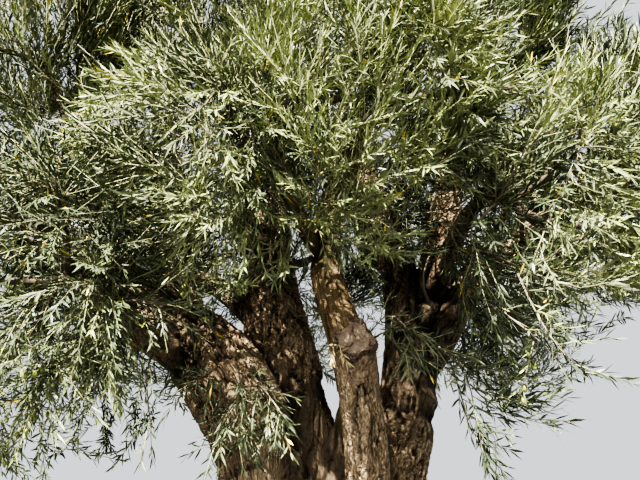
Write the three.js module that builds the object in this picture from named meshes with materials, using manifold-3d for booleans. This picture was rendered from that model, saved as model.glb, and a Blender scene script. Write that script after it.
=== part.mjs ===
import * as THREE from "three";
import { mergeVertices } from "three/addons/utils/BufferGeometryUtils.js";
import Module from "manifold-3d";

// An old olive tree in millimetres: a fluted trunk, its boughs and masses of narrow leaves.
// +Z is up, the front looks along -Y, and the origin is on the ground under the trunk.

const wasm = await Module();
wasm.setup();

const at = (x, y, z) => new THREE.Vector3(x, y, z);

const seatGap = 0.3; // clearance between a piece and what carries it

// Trunk
const trunkHeight = 1780; // to the hollow between the boughs
const trunkHalfWidth = 400; // at the fork
const trunkHalfDepth = 330;
const flareReach = 200; // how far the root flare stands out at the ground
const flareHeight = 260; // height in which most of the flare fades
const trunkLean = 40; // sideways drift from the ground to the fork
const fluteDepth = 0.075; // share of the radius
const trunkSides = 22;
const trunkRings = 11;

// Limbs
const boughSides = 10;
const branchSides = 7;
const ringSpacing = 190;
const limbFlute = 0.09;

// Foliage: each leaf here stands for a spray
const twigsPerMass = 9;
const leavesPerTwig = 4;
const leafLength = 450;
const leafWidth = 128;
const leafThickness = 10;
const leafAngle = 0.72; // radians between a leaf and its twig
const leafTries = 4; // turns round the twig that a leaf may try
const twigRoot = 17;
const twigEnd = 10;
const twigSink = 3; // how far a leaf's root passes its twig's middle
const endSink = 20; // how far the leaf at a twig's end is sunk in it
const limbClearance = 16; // between a twig or leaf and any limb
const spaceMargin = 3; // between a mass and the edge of its space
const leafSpacing = 34; // least distance between the middles of two leaves
const shells = [0.5, 0.72, 0.86]; // how far out the twigs' ends lie, as shares of the reach
const goldenTurn = Math.PI * (3 - Math.sqrt(5));

// Boughs rise out of the trunk: foot, two guides and tip. They leave it at the share called seat.
// Branches start in the bough called on, at its share along. A taper below 1 thins mostly at the tip.
const limbs = [
  {
    name: "left_bough",
    course: [at(-90, -40, 1100), at(-56, -131, 2028), at(-623, 64, 2328), at(-1400, 0, 2790)],
    thick: 285, thin: 52, seat: 0.44,
  },
  {
    name: "middle_left_bough",
    course: [at(-50, -60, 1100), at(-78, -232, 1704), at(-181, 273, 2421), at(-420, 160, 3430)],
    thick: 250, thin: 55, seat: 0.5,
  },
  {
    name: "centre_bough",
    course: [at(165, -120, 1100), at(254, -620, 2485), at(-169, 23, 2210), at(130, -430, 2900)],
    thick: 84, thin: 40, taper: 0.6, seat: 0.22,
  },
  {
    name: "right_bough",
    course: [at(170, 0, 1100), at(271, -97, 1827), at(555, 157, 2376), at(680, 120, 3320)],
    thick: 165, thin: 50, seat: 0.35,
  },
  {
    name: "back_bough",
    course: [at(-40, 100, 1100), at(-160, 350, 1850), at(-240, 660, 2330), at(-250, 960, 2820)],
    thick: 155, thin: 50, seat: 0.36,
  },
  {
    name: "left_hanging_branch", on: "left_bough", along: 0.5,
    course: [at(-660, -160, 2120), at(-900, -420, 2360)],
    thick: 90, thin: 28,
  },
  {
    name: "left_upper_branch", on: "left_bough", along: 0.52,
    course: [at(-620, -60, 2500), at(-1020, -210, 3010)],
    thick: 95, thin: 34,
  },
  {
    name: "back_left_branch", on: "middle_left_bough", along: 0.5,
    course: [at(-280, 200, 2500), at(-790, 610, 2750)],
    thick: 92, thin: 34,
  },
  {
    name: "front_upper_branch", on: "middle_left_bough", along: 0.64,
    course: [at(-160, -40, 2900), at(-180, -270, 3330)],
    thick: 62, thin: 28,
  },
  {
    name: "front_left_branch", on: "centre_bough", along: 0.7,
    course: [at(-60, -330, 2640), at(-240, -520, 2880)],
    thick: 44, thin: 24,
  },
  {
    name: "far_right_branch", on: "right_bough", along: 0.46,
    course: [at(630, 50, 2540), at(1060, 20, 2820)],
    thick: 100, thin: 34,
  },
  {
    name: "right_front_branch", on: "right_bough", along: 0.62,
    course: [at(570, -180, 2680), at(640, -430, 2700)],
    thick: 56, thin: 26,
  },
  {
    name: "back_right_branch", on: "right_bough", along: 0.5,
    course: [at(580, 360, 2420), at(780, 660, 2740)],
    thick: 80, thin: 34,
  },
  {
    name: "crown_branch", on: "right_bough", along: 0.42,
    course: [at(460, 80, 2600), at(150, 500, 3560)],
    thick: 130, thin: 34,
  },
];

// The sawn stub stands out of the centre bough and turns its cut face to the front
const stub = {
  name: "sawn_stub", on: "centre_bough", along: 0.3,
  course: [at(130, -360, 2120), at(125, -450, 2120)],
  thick: 78, thin: 62,
};

// The short dead point in the hollow between the middle-left and the centre bough
const snag = {
  name: "dead_point",
  course: [at(50, -120, 1500), at(60, -150, 1650), at(72, -205, 1790), at(84, -245, 1930)],
  thick: 110, thin: 12,
};

// Each mass fills an egg-shaped space round the tip of its limb: its middle and its three reaches
const masses = [
  {
    name: "foliage_far_left", limb: "left_bough",
    middle: at(-1850, 0, 2710), reach: at(650, 800, 800),
  },
  {
    name: "foliage_left_hanging", limb: "left_hanging_branch",
    middle: at(-960, -550, 2300), reach: at(620, 500, 640),
  },
  {
    name: "foliage_left_upper", limb: "left_upper_branch",
    middle: at(-1260, -300, 3460), reach: at(770, 750, 700),
  },
  {
    name: "foliage_top_left", limb: "middle_left_bough",
    middle: at(-560, 250, 4020), reach: at(760, 750, 720),
  },
  {
    name: "foliage_back_left", limb: "back_left_branch",
    middle: at(-1150, 1000, 3000), reach: at(850, 760, 860),
  },
  {
    name: "foliage_front_upper", limb: "front_upper_branch",
    middle: at(-170, -560, 3820), reach: at(700, 650, 620),
  },
  {
    name: "foliage_front_left", limb: "front_left_branch",
    middle: at(-420, -620, 2740), reach: at(520, 460, 520),
  },
  {
    name: "foliage_centre_front", limb: "centre_bough",
    middle: at(230, -740, 2960), reach: at(600, 520, 640),
  },
  {
    name: "foliage_top_right", limb: "right_bough",
    middle: at(800, 50, 3880), reach: at(760, 750, 720),
  },
  {
    name: "foliage_far_right", limb: "far_right_branch",
    middle: at(1450, 50, 3060), reach: at(640, 800, 680),
  },
  {
    name: "foliage_right_front", limb: "right_front_branch",
    middle: at(820, -620, 2500), reach: at(430, 520, 660),
  },
  {
    name: "foliage_back", limb: "back_bough",
    middle: at(0, 1350, 3150), reach: at(760, 640, 860),
  },
  {
    name: "foliage_back_right", limb: "back_right_branch",
    middle: at(1050, 950, 3000), reach: at(800, 760, 860),
  },
  {
    name: "foliage_crown_top", limb: "crown_branch",
    middle: at(150, 650, 4110), reach: at(760, 700, 680),
  },
];

// A repeatable stream of numbers from 0 to 1
function seeded(seed) {
  let state = seed;
  return () => {
    state = (state + 0x6d2b79f5) | 0;
    let mixed = Math.imul(state ^ (state >>> 15), 1 | state);
    mixed = (mixed + Math.imul(mixed ^ (mixed >>> 7), 61 | mixed)) ^ mixed;
    return ((mixed ^ (mixed >>> 14)) >>> 0) / 4294967296;
  };
}

function solidFrom(geometry) {
  const bare = geometry.clone();
  bare.deleteAttribute("normal");
  bare.deleteAttribute("uv");
  const merged = mergeVertices(bare);
  const mesh = new wasm.Mesh({
    numProp: 3,
    vertProperties: new Float32Array(merged.attributes.position.array),
    triVerts: new Uint32Array(merged.index.array),
  });
  return new wasm.Manifold(mesh);
}

function geometryFrom(solid) {
  const mesh = solid.getMesh();
  const geometry = new THREE.BufferGeometry();
  geometry.setAttribute("position", new THREE.BufferAttribute(mesh.vertProperties, 3));
  geometry.setIndex(new THREE.BufferAttribute(mesh.triVerts, 1));
  geometry.computeVertexNormals();
  return geometry;
}

function largestPart(solid) {
  const parts = solid.decompose();
  parts.sort((a, b) => b.volume() - a.volume());
  return parts[0];
}

// Moves every vertex of a geometry to where place(vertex) says
function reshape(geometry, place) {
  const position = geometry.attributes.position;
  for (let i = 0; i < position.count; i++) {
    const moved = place(at(position.getX(i), position.getY(i), position.getZ(i)));
    position.setXYZ(i, moved.x, moved.y, moved.z);
  }
  return geometry;
}

// A limb's course is a curve through its foot, its guides and its tip
function curveOf(limb) {
  const course = limb.course;
  if (course.length === 4) return new THREE.CubicBezierCurve3(...course);
  const foot = curveOf(limbNamed(limb.on)).getPoint(limb.along);
  return new THREE.QuadraticBezierCurve3(foot, ...course);
}

function limbNamed(name) {
  return limbs.find((limb) => limb.name === name);
}

function limbRadius(limb, share) {
  return limb.thin + (limb.thick - limb.thin) * (1 - share) ** (limb.taper || 1);
}

// Where a limb's skin lies: a ring of slight ridges that wind round it and fade towards its tip
function limbRing(limb, curve, share) {
  const chord = curve.getPoint(1).sub(curve.getPoint(0));
  const tangent = curve.getTangent(share);
  const side = at(0, 1, 0).cross(chord);
  side.addScaledVector(tangent, -side.dot(tangent)).normalize();
  return { centre: curve.getPoint(share), tangent, side, up: tangent.clone().cross(side) };
}

function limbSolid(limb, { from = 0, to = 1, sides = branchSides, rings, grow = 0 } = {}) {
  const curve = curveOf(limb);
  const steps = rings || Math.ceil((curve.getLength() * (to - from)) / ringSpacing);
  const phase = limb.name.length;
  const tube = new THREE.CylinderGeometry(1, 1, 1, sides, steps);
  reshape(tube, (p) => {
    const along = 0.5 + p.y;
    const share = from + (to - from) * along;
    const ring = limbRing(limb, curve, share);
    const angle = Math.atan2(p.x, p.z);
    const ridges = Math.cos(3 * angle + 4 * share + phase) + 0.6 * Math.cos(5 * angle - 3 * share);
    const flute = sides > 5 ? limbFlute * ridges * (1 - share) : 0;
    const radius = Math.hypot(p.x, p.z) * (limbRadius(limb, share) * (1 + flute) + grow);
    const endShift = along < 1e-6 ? -grow : along > 1 - 1e-6 ? grow : 0;
    return ring.centre
      .addScaledVector(ring.side, Math.cos(angle) * radius)
      .addScaledVector(ring.up, Math.sin(angle) * radius)
      .addScaledVector(ring.tangent, endShift);
  });
  return solidFrom(tube);
}

// The trunk's column: an oval with flutes that deepen into roots at the ground
function trunkColumn(grow = 0) {
  const column = new THREE.CylinderGeometry(1, 1, 1, trunkSides, trunkRings);
  reshape(column, (p) => {
    const share = 0.5 + p.y;
    const height = share * trunkHeight;
    const angle = Math.atan2(p.x, p.z);
    const flare = flareReach * Math.exp(-height / flareHeight);
    const roots = 1 + 0.4 * Math.cos(6 * angle + 0.5);
    const flutes = 1 + fluteDepth * (Math.cos(5 * angle + 1.5 * share) + 0.7 * Math.cos(8 * angle - share));
    const waist = 1 - 0.1 * Math.sin(Math.PI * share) - 0.38 * share ** 6;
    const reach = Math.hypot(p.x, p.z);
    const halfWidth = trunkHalfWidth * flutes * waist + flare * roots + grow;
    const halfDepth = trunkHalfDepth * flutes * waist + flare * roots + grow;
    const drift = trunkLean * (share ** 2 - share);
    const top = share === 1 ? grow : 0;
    const x = Math.cos(angle) * reach * halfWidth + drift;
    const y = Math.sin(angle) * reach * halfDepth;
    return at(x, y, height + top);
  });
  return solidFrom(column);
}

function trunkSolid(grow = 0) {
  let trunk = trunkColumn(grow);
  for (const bough of limbs.filter((limb) => limb.seat)) {
    trunk = trunk.add(limbSolid(bough, { to: bough.seat, sides: boughSides, grow }));
  }
  return trunk.add(limbSolid(snag, { grow }));
}

// Each limb is cut back by what already stands there, with the seat's clearance
function makeLimbs() {
  const grown = [trunkSolid(seatGap)];
  const solids = new Map([["trunk", trunkSolid()]]);
  for (const limb of [...limbs, stub]) {
    const shape = { from: limb.seat || 0, sides: limb.seat ? boughSides : branchSides };
    let solid = limbSolid(limb, shape);
    for (const neighbour of grown) solid = solid.subtract(neighbour);
    solids.set(limb.name, largestPart(solid));
    grown.push(limbSolid(limb, { ...shape, grow: seatGap }));
  }
  return solids;
}

// Short straight stretches of every limb, for keeping leaves clear of them
function limbStretches() {
  const axis = new THREE.Line3(at(0, 0, 0), at(0, 0, trunkHeight));
  const stretches = [{ line: axis, radius: trunkHalfWidth * (1 + 2 * fluteDepth) }];
  const steps = 14;
  for (const limb of [...limbs, stub]) {
    const points = curveOf(limb).getPoints(steps);
    for (let i = 0; i < steps; i++) {
      const radius = limbRadius(limb, i / steps) * (1 + 1.6 * limbFlute);
      stretches.push({ line: new THREE.Line3(points[i], points[i + 1]), radius });
    }
  }
  return stretches;
}

const stretches = limbStretches();

function clearOfLimbs(point, reach) {
  const nearest = at(0, 0, 0);
  return stretches.every(({ line, radius }) => {
    line.closestPointToPoint(point, true, nearest);
    return nearest.distanceTo(point) > radius + reach + limbClearance;
  });
}

// Neighbouring masses are parted by flat planes, so that each keeps to its own space
function inSpace(mass, point, looseness = 1) {
  const out = point.clone().sub(mass.middle).divide(mass.reach).length();
  if (out > looseness) return false;
  const pull = (other) => {
    const size = (other.reach.x + other.reach.y + other.reach.z) / 3;
    return point.distanceToSquared(other.middle) - size ** 2;
  };
  const own = pull(mass);
  return masses.every((other) => {
    if (other === mass) return true;
    const apart = mass.middle.distanceTo(other.middle);
    return own + 2 * apart * spaceMargin < pull(other);
  });
}

// The stem carries on from the limb's flat tip and turns into the middle of the mass
function stemOf(mass) {
  const limb = limbNamed(mass.limb);
  const curve = curveOf(limb);
  const tangent = curve.getTangent(1);
  const start = curve.getPoint(1).addScaledVector(tangent, seatGap);
  const end = start.clone().lerp(mass.middle, 0.9);
  const lead = start.distanceTo(end) / 3;
  const draw = end.clone().addScaledVector(at(0, 0, 1), -lead / 3).lerp(start, 0.3);
  return {
    name: "stem",
    course: [start, start.clone().addScaledVector(tangent, lead), draw, end],
    thick: limb.thin * 0.85,
    thin: twigRoot,
  };
}

// The twigs' ends are spread evenly over the mass by a golden spiral, in three shells
function twigEnds(mass, random) {
  const ends = [];
  for (let i = 0; i < twigsPerMass; i++) {
    const climb = 1 - (2 * (i + 0.5)) / twigsPerMass;
    const turn = goldenTurn * i + 0.5 * random();
    const level = Math.sqrt(1 - climb ** 2);
    const out = at(level * Math.cos(turn), level * Math.sin(turn), climb);
    const shell = shells[i % shells.length] - 0.04 * random();
    ends.push(out.multiply(mass.reach).multiplyScalar(shell).add(mass.middle));
  }
  return ends;
}

// Points along a line, evenly spaced
function pointsBetween(start, end, count) {
  return Array.from({ length: count }, (_, i) => start.clone().lerp(end, (i + 1) / count));
}

// Every twig leaves the nearest joint that does not turn it back too sharply
function growTwigs(mass, stem, random) {
  const joints = [];
  const curve = new THREE.CubicBezierCurve3(...stem.course);
  for (const share of [0.45, 0.6, 0.75, 0.9, 1]) {
    const thick = limbRadius(stem, share);
    joints.push({ point: curve.getPoint(share), heading: curve.getTangent(share), thick });
  }
  const base = curve.getPoint(0);
  const ends = twigEnds(mass, random).sort((a, b) => a.distanceTo(base) - b.distanceTo(base));
  const twigs = [];
  for (const end of ends) {
    const effort = (joint) => {
      const way = end.clone().sub(joint.point);
      return way.length() * (1.6 - 0.6 * way.normalize().dot(joint.heading));
    };
    const joint = joints.reduce((best, other) => (effort(other) < effort(best) ? other : best));
    const thick = Math.min(twigRoot, joint.thick * 0.9);
    const path = pointsBetween(joint.point, end, 8);
    const fits = path.every((point) => inSpace(mass, point) && clearOfLimbs(point, thick));
    if (!fits) continue;
    const heading = end.clone().sub(joint.point).normalize();
    twigs.push({ start: joint.point, end, heading, thick });
    for (const point of pointsBetween(joint.point, end, 3)) {
      joints.push({ point, heading, thick: thick * 0.85 });
    }
  }
  return twigs;
}

function twigSolid(twig) {
  const length = twig.start.distanceTo(twig.end);
  const cone = new THREE.CylinderGeometry(twigEnd, twig.thick, length, 3, 1);
  cone.translate(0, length / 2, 0);
  cone.applyQuaternion(new THREE.Quaternion().setFromUnitVectors(at(0, 1, 0), twig.heading));
  cone.translate(twig.start.x, twig.start.y, twig.start.z);
  return solidFrom(cone);
}

// A leaf is a narrow flat blade, widest before its middle
function leafGeometry(root, heading, face) {
  const blade = new THREE.OctahedronGeometry(1);
  const across = heading.clone().cross(face).normalize();
  const flat = across.clone().cross(heading).normalize();
  const widest = 0.42;
  return reshape(blade, (p) => {
    const along = p.y < -0.5 ? 0 : p.y > 0.5 ? 1 : widest;
    return root
      .clone()
      .addScaledVector(heading, along * leafLength)
      .addScaledVector(across, (p.x * leafWidth) / 2)
      .addScaledVector(flat, (p.z * leafThickness) / 2);
  });
}

function leafFits(mass, geometry, root, heading) {
  const position = geometry.attributes.position;
  for (let i = 0; i < position.count; i++) {
    if (!inSpace(mass, at(position.getX(i), position.getY(i), position.getZ(i)), 1.1)) return false;
  }
  const tip = root.clone().addScaledVector(heading, leafLength);
  return pointsBetween(root, tip, 8).every((point) => clearOfLimbs(point, leafWidth / 2));
}

function clearOfLeaves(midline, placed) {
  const isClear = (spot) => midline.every((point) => point.distanceTo(spot) > leafSpacing);
  return placed.every((other) => other.every(isClear));
}

// One leaf on a twig at its share along, or nothing where it would touch or leave the space
function leafOf(mass, twig, share, lean, placed, random) {
  const side = twig.heading.clone().cross(at(0, 0, 1)).normalize();
  const over = side.clone().cross(twig.heading);
  const turn = 2 * Math.PI * random();
  const out = side.multiplyScalar(Math.cos(turn)).addScaledVector(over, Math.sin(turn));
  const heading = twig.heading.clone().multiplyScalar(Math.cos(lean)).addScaledVector(out, Math.sin(lean));
  const face = at(random() - 0.5, random() - 0.5, 1).cross(heading).cross(heading).normalize();
  const sink = lean ? twigSink : endSink;
  const root = twig.start.clone().lerp(twig.end, share).addScaledVector(heading, -sink);
  const tip = root.clone().addScaledVector(heading, leafLength);
  const geometry = leafGeometry(root, heading, face);
  const midline = pointsBetween(root, tip, 16).slice(2);
  if (!leafFits(mass, geometry, root, heading) || !clearOfLeaves(midline, placed)) return null;
  placed.push(midline);
  return solidFrom(geometry);
}

// Leaves stand along the outer part of a twig, with one at its end
function leavesOf(mass, twig, placed, random) {
  const leaves = [];
  for (let i = 0; i < leavesPerTwig; i++) {
    const last = i === leavesPerTwig - 1;
    const share = last ? 0.97 : 0.34 + (0.6 * i) / (leavesPerTwig - 1);
    let leaf = null;
    for (let tries = 0; tries < leafTries && !leaf; tries++) {
      leaf = leafOf(mass, twig, share, last ? 0 : leafAngle + 0.3 * random(), placed, random);
    }
    if (leaf) leaves.push(leaf);
  }
  return leaves;
}

function makeMass(mass, index) {
  const random = seeded(100 + index);
  const stem = stemOf(mass);
  const placed = [];
  let solid = limbSolid(stem, { sides: 5, rings: 3 });
  for (const twig of growTwigs(mass, stem, random)) {
    solid = solid.add(twigSolid(twig));
    for (const leaf of leavesOf(mass, twig, placed, random)) solid = solid.add(leaf);
  }
  return largestPart(solid);
}

function matt(color, roughness) {
  return new THREE.MeshStandardMaterial({ color, roughness, metalness: 0 });
}

const barkMaterial = () => matt(0x6e5842, 0.95);
const smoothBarkMaterial = () => matt(0x9c7a52, 0.85);
const cutWoodMaterial = () => matt(0x9d8b74, 0.9);
const foliageMaterial = () => matt(0x8a9766, 0.6);

function materialFor(name) {
  if (name === stub.name) return cutWoodMaterial();
  return name === "centre_bough" ? smoothBarkMaterial() : barkMaterial();
}

function addPiece(group, name, solid, material) {
  const piece = new THREE.Mesh(geometryFrom(solid), material);
  piece.name = name;
  group.add(piece);
}

function makeTree() {
  const tree = new THREE.Group();
  for (const [name, solid] of makeLimbs()) addPiece(tree, name, solid, materialFor(name));
  masses.forEach((mass, index) => addPiece(tree, mass.name, makeMass(mass, index), foliageMaterial()));
  return tree;
}

const group = makeTree();
export default group;
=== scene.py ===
import math

import bpy
import numpy as np
from mathutils import Matrix, Vector, noise


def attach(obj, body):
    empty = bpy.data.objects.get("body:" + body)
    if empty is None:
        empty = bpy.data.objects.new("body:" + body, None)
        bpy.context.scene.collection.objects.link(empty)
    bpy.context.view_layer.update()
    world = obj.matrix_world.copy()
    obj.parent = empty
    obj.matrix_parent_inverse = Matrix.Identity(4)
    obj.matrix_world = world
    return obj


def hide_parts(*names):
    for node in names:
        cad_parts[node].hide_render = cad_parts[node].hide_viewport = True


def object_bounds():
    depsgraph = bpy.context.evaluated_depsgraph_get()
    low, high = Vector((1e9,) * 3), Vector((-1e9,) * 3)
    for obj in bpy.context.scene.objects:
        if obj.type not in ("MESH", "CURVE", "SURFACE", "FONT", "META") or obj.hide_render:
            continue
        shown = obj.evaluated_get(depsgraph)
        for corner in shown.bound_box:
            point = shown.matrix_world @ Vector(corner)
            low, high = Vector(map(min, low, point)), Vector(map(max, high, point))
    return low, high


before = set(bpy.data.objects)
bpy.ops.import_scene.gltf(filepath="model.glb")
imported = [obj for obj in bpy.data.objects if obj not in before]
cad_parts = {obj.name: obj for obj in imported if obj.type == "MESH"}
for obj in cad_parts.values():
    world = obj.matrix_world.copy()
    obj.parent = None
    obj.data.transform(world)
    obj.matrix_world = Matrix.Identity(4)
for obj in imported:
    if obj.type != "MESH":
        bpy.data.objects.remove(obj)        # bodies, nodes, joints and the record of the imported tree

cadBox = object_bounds()
print("frame loaded:", len(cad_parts), "nodes")

# The view of the photograph

photoView = {
    "place": (0.0, -2.7, 1.6),    # eye height, a few steps in front of the trunk
    "tiltUp": 22.0,               # degrees above level
    "lens": 36.0,
    "sensor": 36.0,
    "farthest": 200.0,
}

bpy.ops.object.camera_add(
    location=photoView["place"],
    rotation=(math.radians(90 + photoView["tiltUp"]), 0, 0),
)
camera = bpy.context.object
camera.name = "photoView"
camera.data.lens = photoView["lens"]
camera.data.sensor_width = photoView["sensor"]
camera.data.clip_end = photoView["farthest"]
bpy.context.scene.camera = camera
bpy.context.scene.view_settings.look = "AgX - High Contrast"
print("camera set")

# Floor and light

studio = {
    "floorSize": 60.0,
    "floorTint": (0.150, 0.148, 0.144, 1),
    "floorSpeck": (0.125, 0.123, 0.120, 1),
    "speckScale": 3.0,
    "speckShare": 0.12,
    "fillTint": (0.92, 0.95, 1.0, 1),    # light from all round
    "fillStrength": 0.32,
    "domeRadius": 29.0,
    "domeFacets": (96, 48),
    "domeTint": (0.86, 0.90, 0.94, 1),
    "domeGlow": 0.95,
}
suns = {
    "keyLight": {    # above, in front and a little to the left
        "from": (-0.26, -0.80, 1.12), "strength": 33.0, "softness": 0.7, "tint": (1.0, 0.955, 0.88),
    },
    "backLight": {    # weak, from behind on the right
        "from": (0.70, 0.60, 0.45), "strength": 2.0, "softness": 25.0, "tint": (1, 1, 1),
    },
    "frontLight": {    # what the sunlit ground in front throws back
        "from": (-0.25, -1.0, 0.10), "strength": 2.3, "softness": 70.0, "tint": (1, 1, 1),
    },
}


def deselectAll():
    for thing in bpy.context.selected_objects:
        thing.select_set(False)


def makeActive(thing):
    deselectAll()
    thing.select_set(True)
    bpy.context.view_layer.objects.active = thing


# Shader expressions


class Wire:
    def __init__(self, paint, socket):
        self.paint = paint
        self.socket = socket

    def maths(self, operation, first, second):
        return self.paint.node("ShaderNodeMath", {"operation": operation}, {0: first, 1: second})

    def __add__(self, other):
        return self.maths("ADD", self, other)

    def __radd__(self, other):
        return self.maths("ADD", other, self)

    def __sub__(self, other):
        return self.maths("SUBTRACT", self, other)

    def __rsub__(self, other):
        return self.maths("SUBTRACT", other, self)

    def __mul__(self, other):
        return self.maths("MULTIPLY", self, other)

    def __rmul__(self, other):
        return self.maths("MULTIPLY", other, self)

    def clamped(self):
        return self.paint.node("ShaderNodeClamp", {}, {"Value": self})


class Paint:
    def __init__(self, name, roughness=0.8, tint=(0.5, 0.5, 0.5, 1), gloss=0.5):
        self.material = bpy.data.materials.new(name)
        self.material.use_nodes = True
        self.tree = self.material.node_tree
        self.tree.nodes.clear()
        self.shader = self.tree.nodes.new("ShaderNodeBsdfPrincipled")
        output = self.tree.nodes.new("ShaderNodeOutputMaterial")
        self.tree.links.new(self.shader.outputs[0], output.inputs["Surface"])
        self.shader.inputs["Base Color"].default_value = tint
        self.shader.inputs["Roughness"].default_value = roughness
        self.shader.inputs["Specular IOR Level"].default_value = gloss

    def node(self, kind, settings, sockets, out=0):
        node = self.tree.nodes.new(kind)
        for key, value in settings.items():
            if key == "stops":
                for position, colour in value:
                    stop = node.color_ramp.elements.new(position)
                    stop.color = colour
                node.color_ramp.elements.remove(node.color_ramp.elements[0])
                node.color_ramp.elements.remove(node.color_ramp.elements[-1])
            else:
                setattr(node, key, value)
        for key, value in sockets.items():
            self.feed(node.inputs[key], value)
        return Wire(self, node.outputs[out])

    def feed(self, socket, value):
        if isinstance(value, Wire):
            self.tree.links.new(value.socket, socket)
        else:
            socket.default_value = value

    def set(self, name, value):
        self.feed(self.shader.inputs[name], value)

    def blend(self, amount, first, second):
        node = self.tree.nodes.new("ShaderNodeMix")
        node.data_type = "RGBA"
        self.feed(node.inputs[0], amount)
        self.feed(node.inputs[6], first)
        self.feed(node.inputs[7], second)
        return Wire(self, node.outputs[2])

    def attribute(self, name, out="Fac"):
        return self.node("ShaderNodeAttribute", {"attribute_name": name}, {}, out)

    def position(self):
        return self.node("ShaderNodeTexCoord", {}, {}, "Object")

    def stretched(self, vector, scale):
        return self.node("ShaderNodeVectorMath", {"operation": "MULTIPLY"}, {0: vector, 1: scale})

    def cloud(self, vector, scale, detail=3.0, roughness=0.55, distortion=0.0):
        return self.node(
            "ShaderNodeTexNoise", {},
            {"Vector": vector, "Scale": scale, "Detail": detail, "Roughness": roughness,
             "Distortion": distortion},
        )

    # A place pushed about by noise of its own
    def shaken(self, vector, scale, reach):
        sockets = {"Vector": vector, "Scale": scale, "Detail": 3.0}
        sway = self.node("ShaderNodeTexNoise", {}, sockets, "Color")
        return self.node("ShaderNodeVectorMath", {"operation": "MULTIPLY_ADD"},
                         {0: sway, 1: (reach, reach, reach), 2: vector})

    # Distance to the edge of the cell round a place
    def cells(self, vector, scale):
        return self.node("ShaderNodeTexVoronoi", {"feature": "DISTANCE_TO_EDGE"},
                         {"Vector": vector, "Scale": scale}, "Distance")

    def steps(self, value, stops):
        return self.node("ShaderNodeValToRGB", {"stops": stops}, {"Fac": value})

    def remap(self, value, low, high, newLow, newHigh):
        return self.node(
            "ShaderNodeMapRange", {},
            {"Value": value, "From Min": low, "From Max": high, "To Min": newLow, "To Max": newHigh},
        )

    def bump(self, height, strength, distance):
        return self.node(
            "ShaderNodeBump", {},
            {"Height": height, "Strength": strength, "Distance": distance}, "Normal",
        )


def floorPaint():
    paint = Paint("paleFloor", 0.85, studio["floorTint"], 0.2)
    speck = paint.cloud(paint.position(), studio["speckScale"]) * studio["speckShare"]
    paint.set("Base Color", paint.blend(speck, studio["floorTint"], studio["floorSpeck"]))
    return paint.material


def addSun(name, light):
    bpy.ops.object.light_add(type="SUN")
    sun = bpy.context.object
    sun.name = name
    sun.rotation_euler = Vector(light["from"]).to_track_quat("Z", "Y").to_euler()
    sun.data.energy = light["strength"]
    sun.data.angle = math.radians(light["softness"])
    sun.data.color = light["tint"]


# A pale backdrop all round, which neither lights the tree nor keeps light off it
def addDome():
    around, up = studio["domeFacets"]
    bpy.ops.mesh.primitive_uv_sphere_add(segments=around, ring_count=up, radius=studio["domeRadius"])
    dome = bpy.context.object
    dome.name = "paleDome"
    paint = Paint("paleDome", 1.0, (0, 0, 0, 1), 0.0)
    paint.set("Emission Color", studio["domeTint"])
    paint.set("Emission Strength", studio["domeGlow"])
    dome.data.materials.append(paint.material)
    dome.visible_diffuse = False
    dome.visible_glossy = False
    dome.visible_transmission = False
    dome.visible_shadow = False


def addStudio():
    bpy.ops.mesh.primitive_plane_add(size=studio["floorSize"])
    floor = bpy.context.object
    floor.name = "paleFloor"
    floor.data.materials.append(floorPaint())
    floor.visible_diffuse = False    # so that it throws no light up under the crown
    addDome()
    for name, light in suns.items():
        addSun(name, light)
    world = bpy.data.worlds.new("softFill")
    world.use_nodes = True
    background = world.node_tree.nodes["Background"]
    background.inputs["Color"].default_value = studio["fillTint"]
    background.inputs["Strength"].default_value = studio["fillStrength"]
    bpy.context.scene.world = world


addStudio()
print("studio set")

# Limbs: each is a curve from its foot past two guides to its tip, as the solids have it.
# A branch starts in the limb called on, at its share along, and has one bend and a tip.

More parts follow.
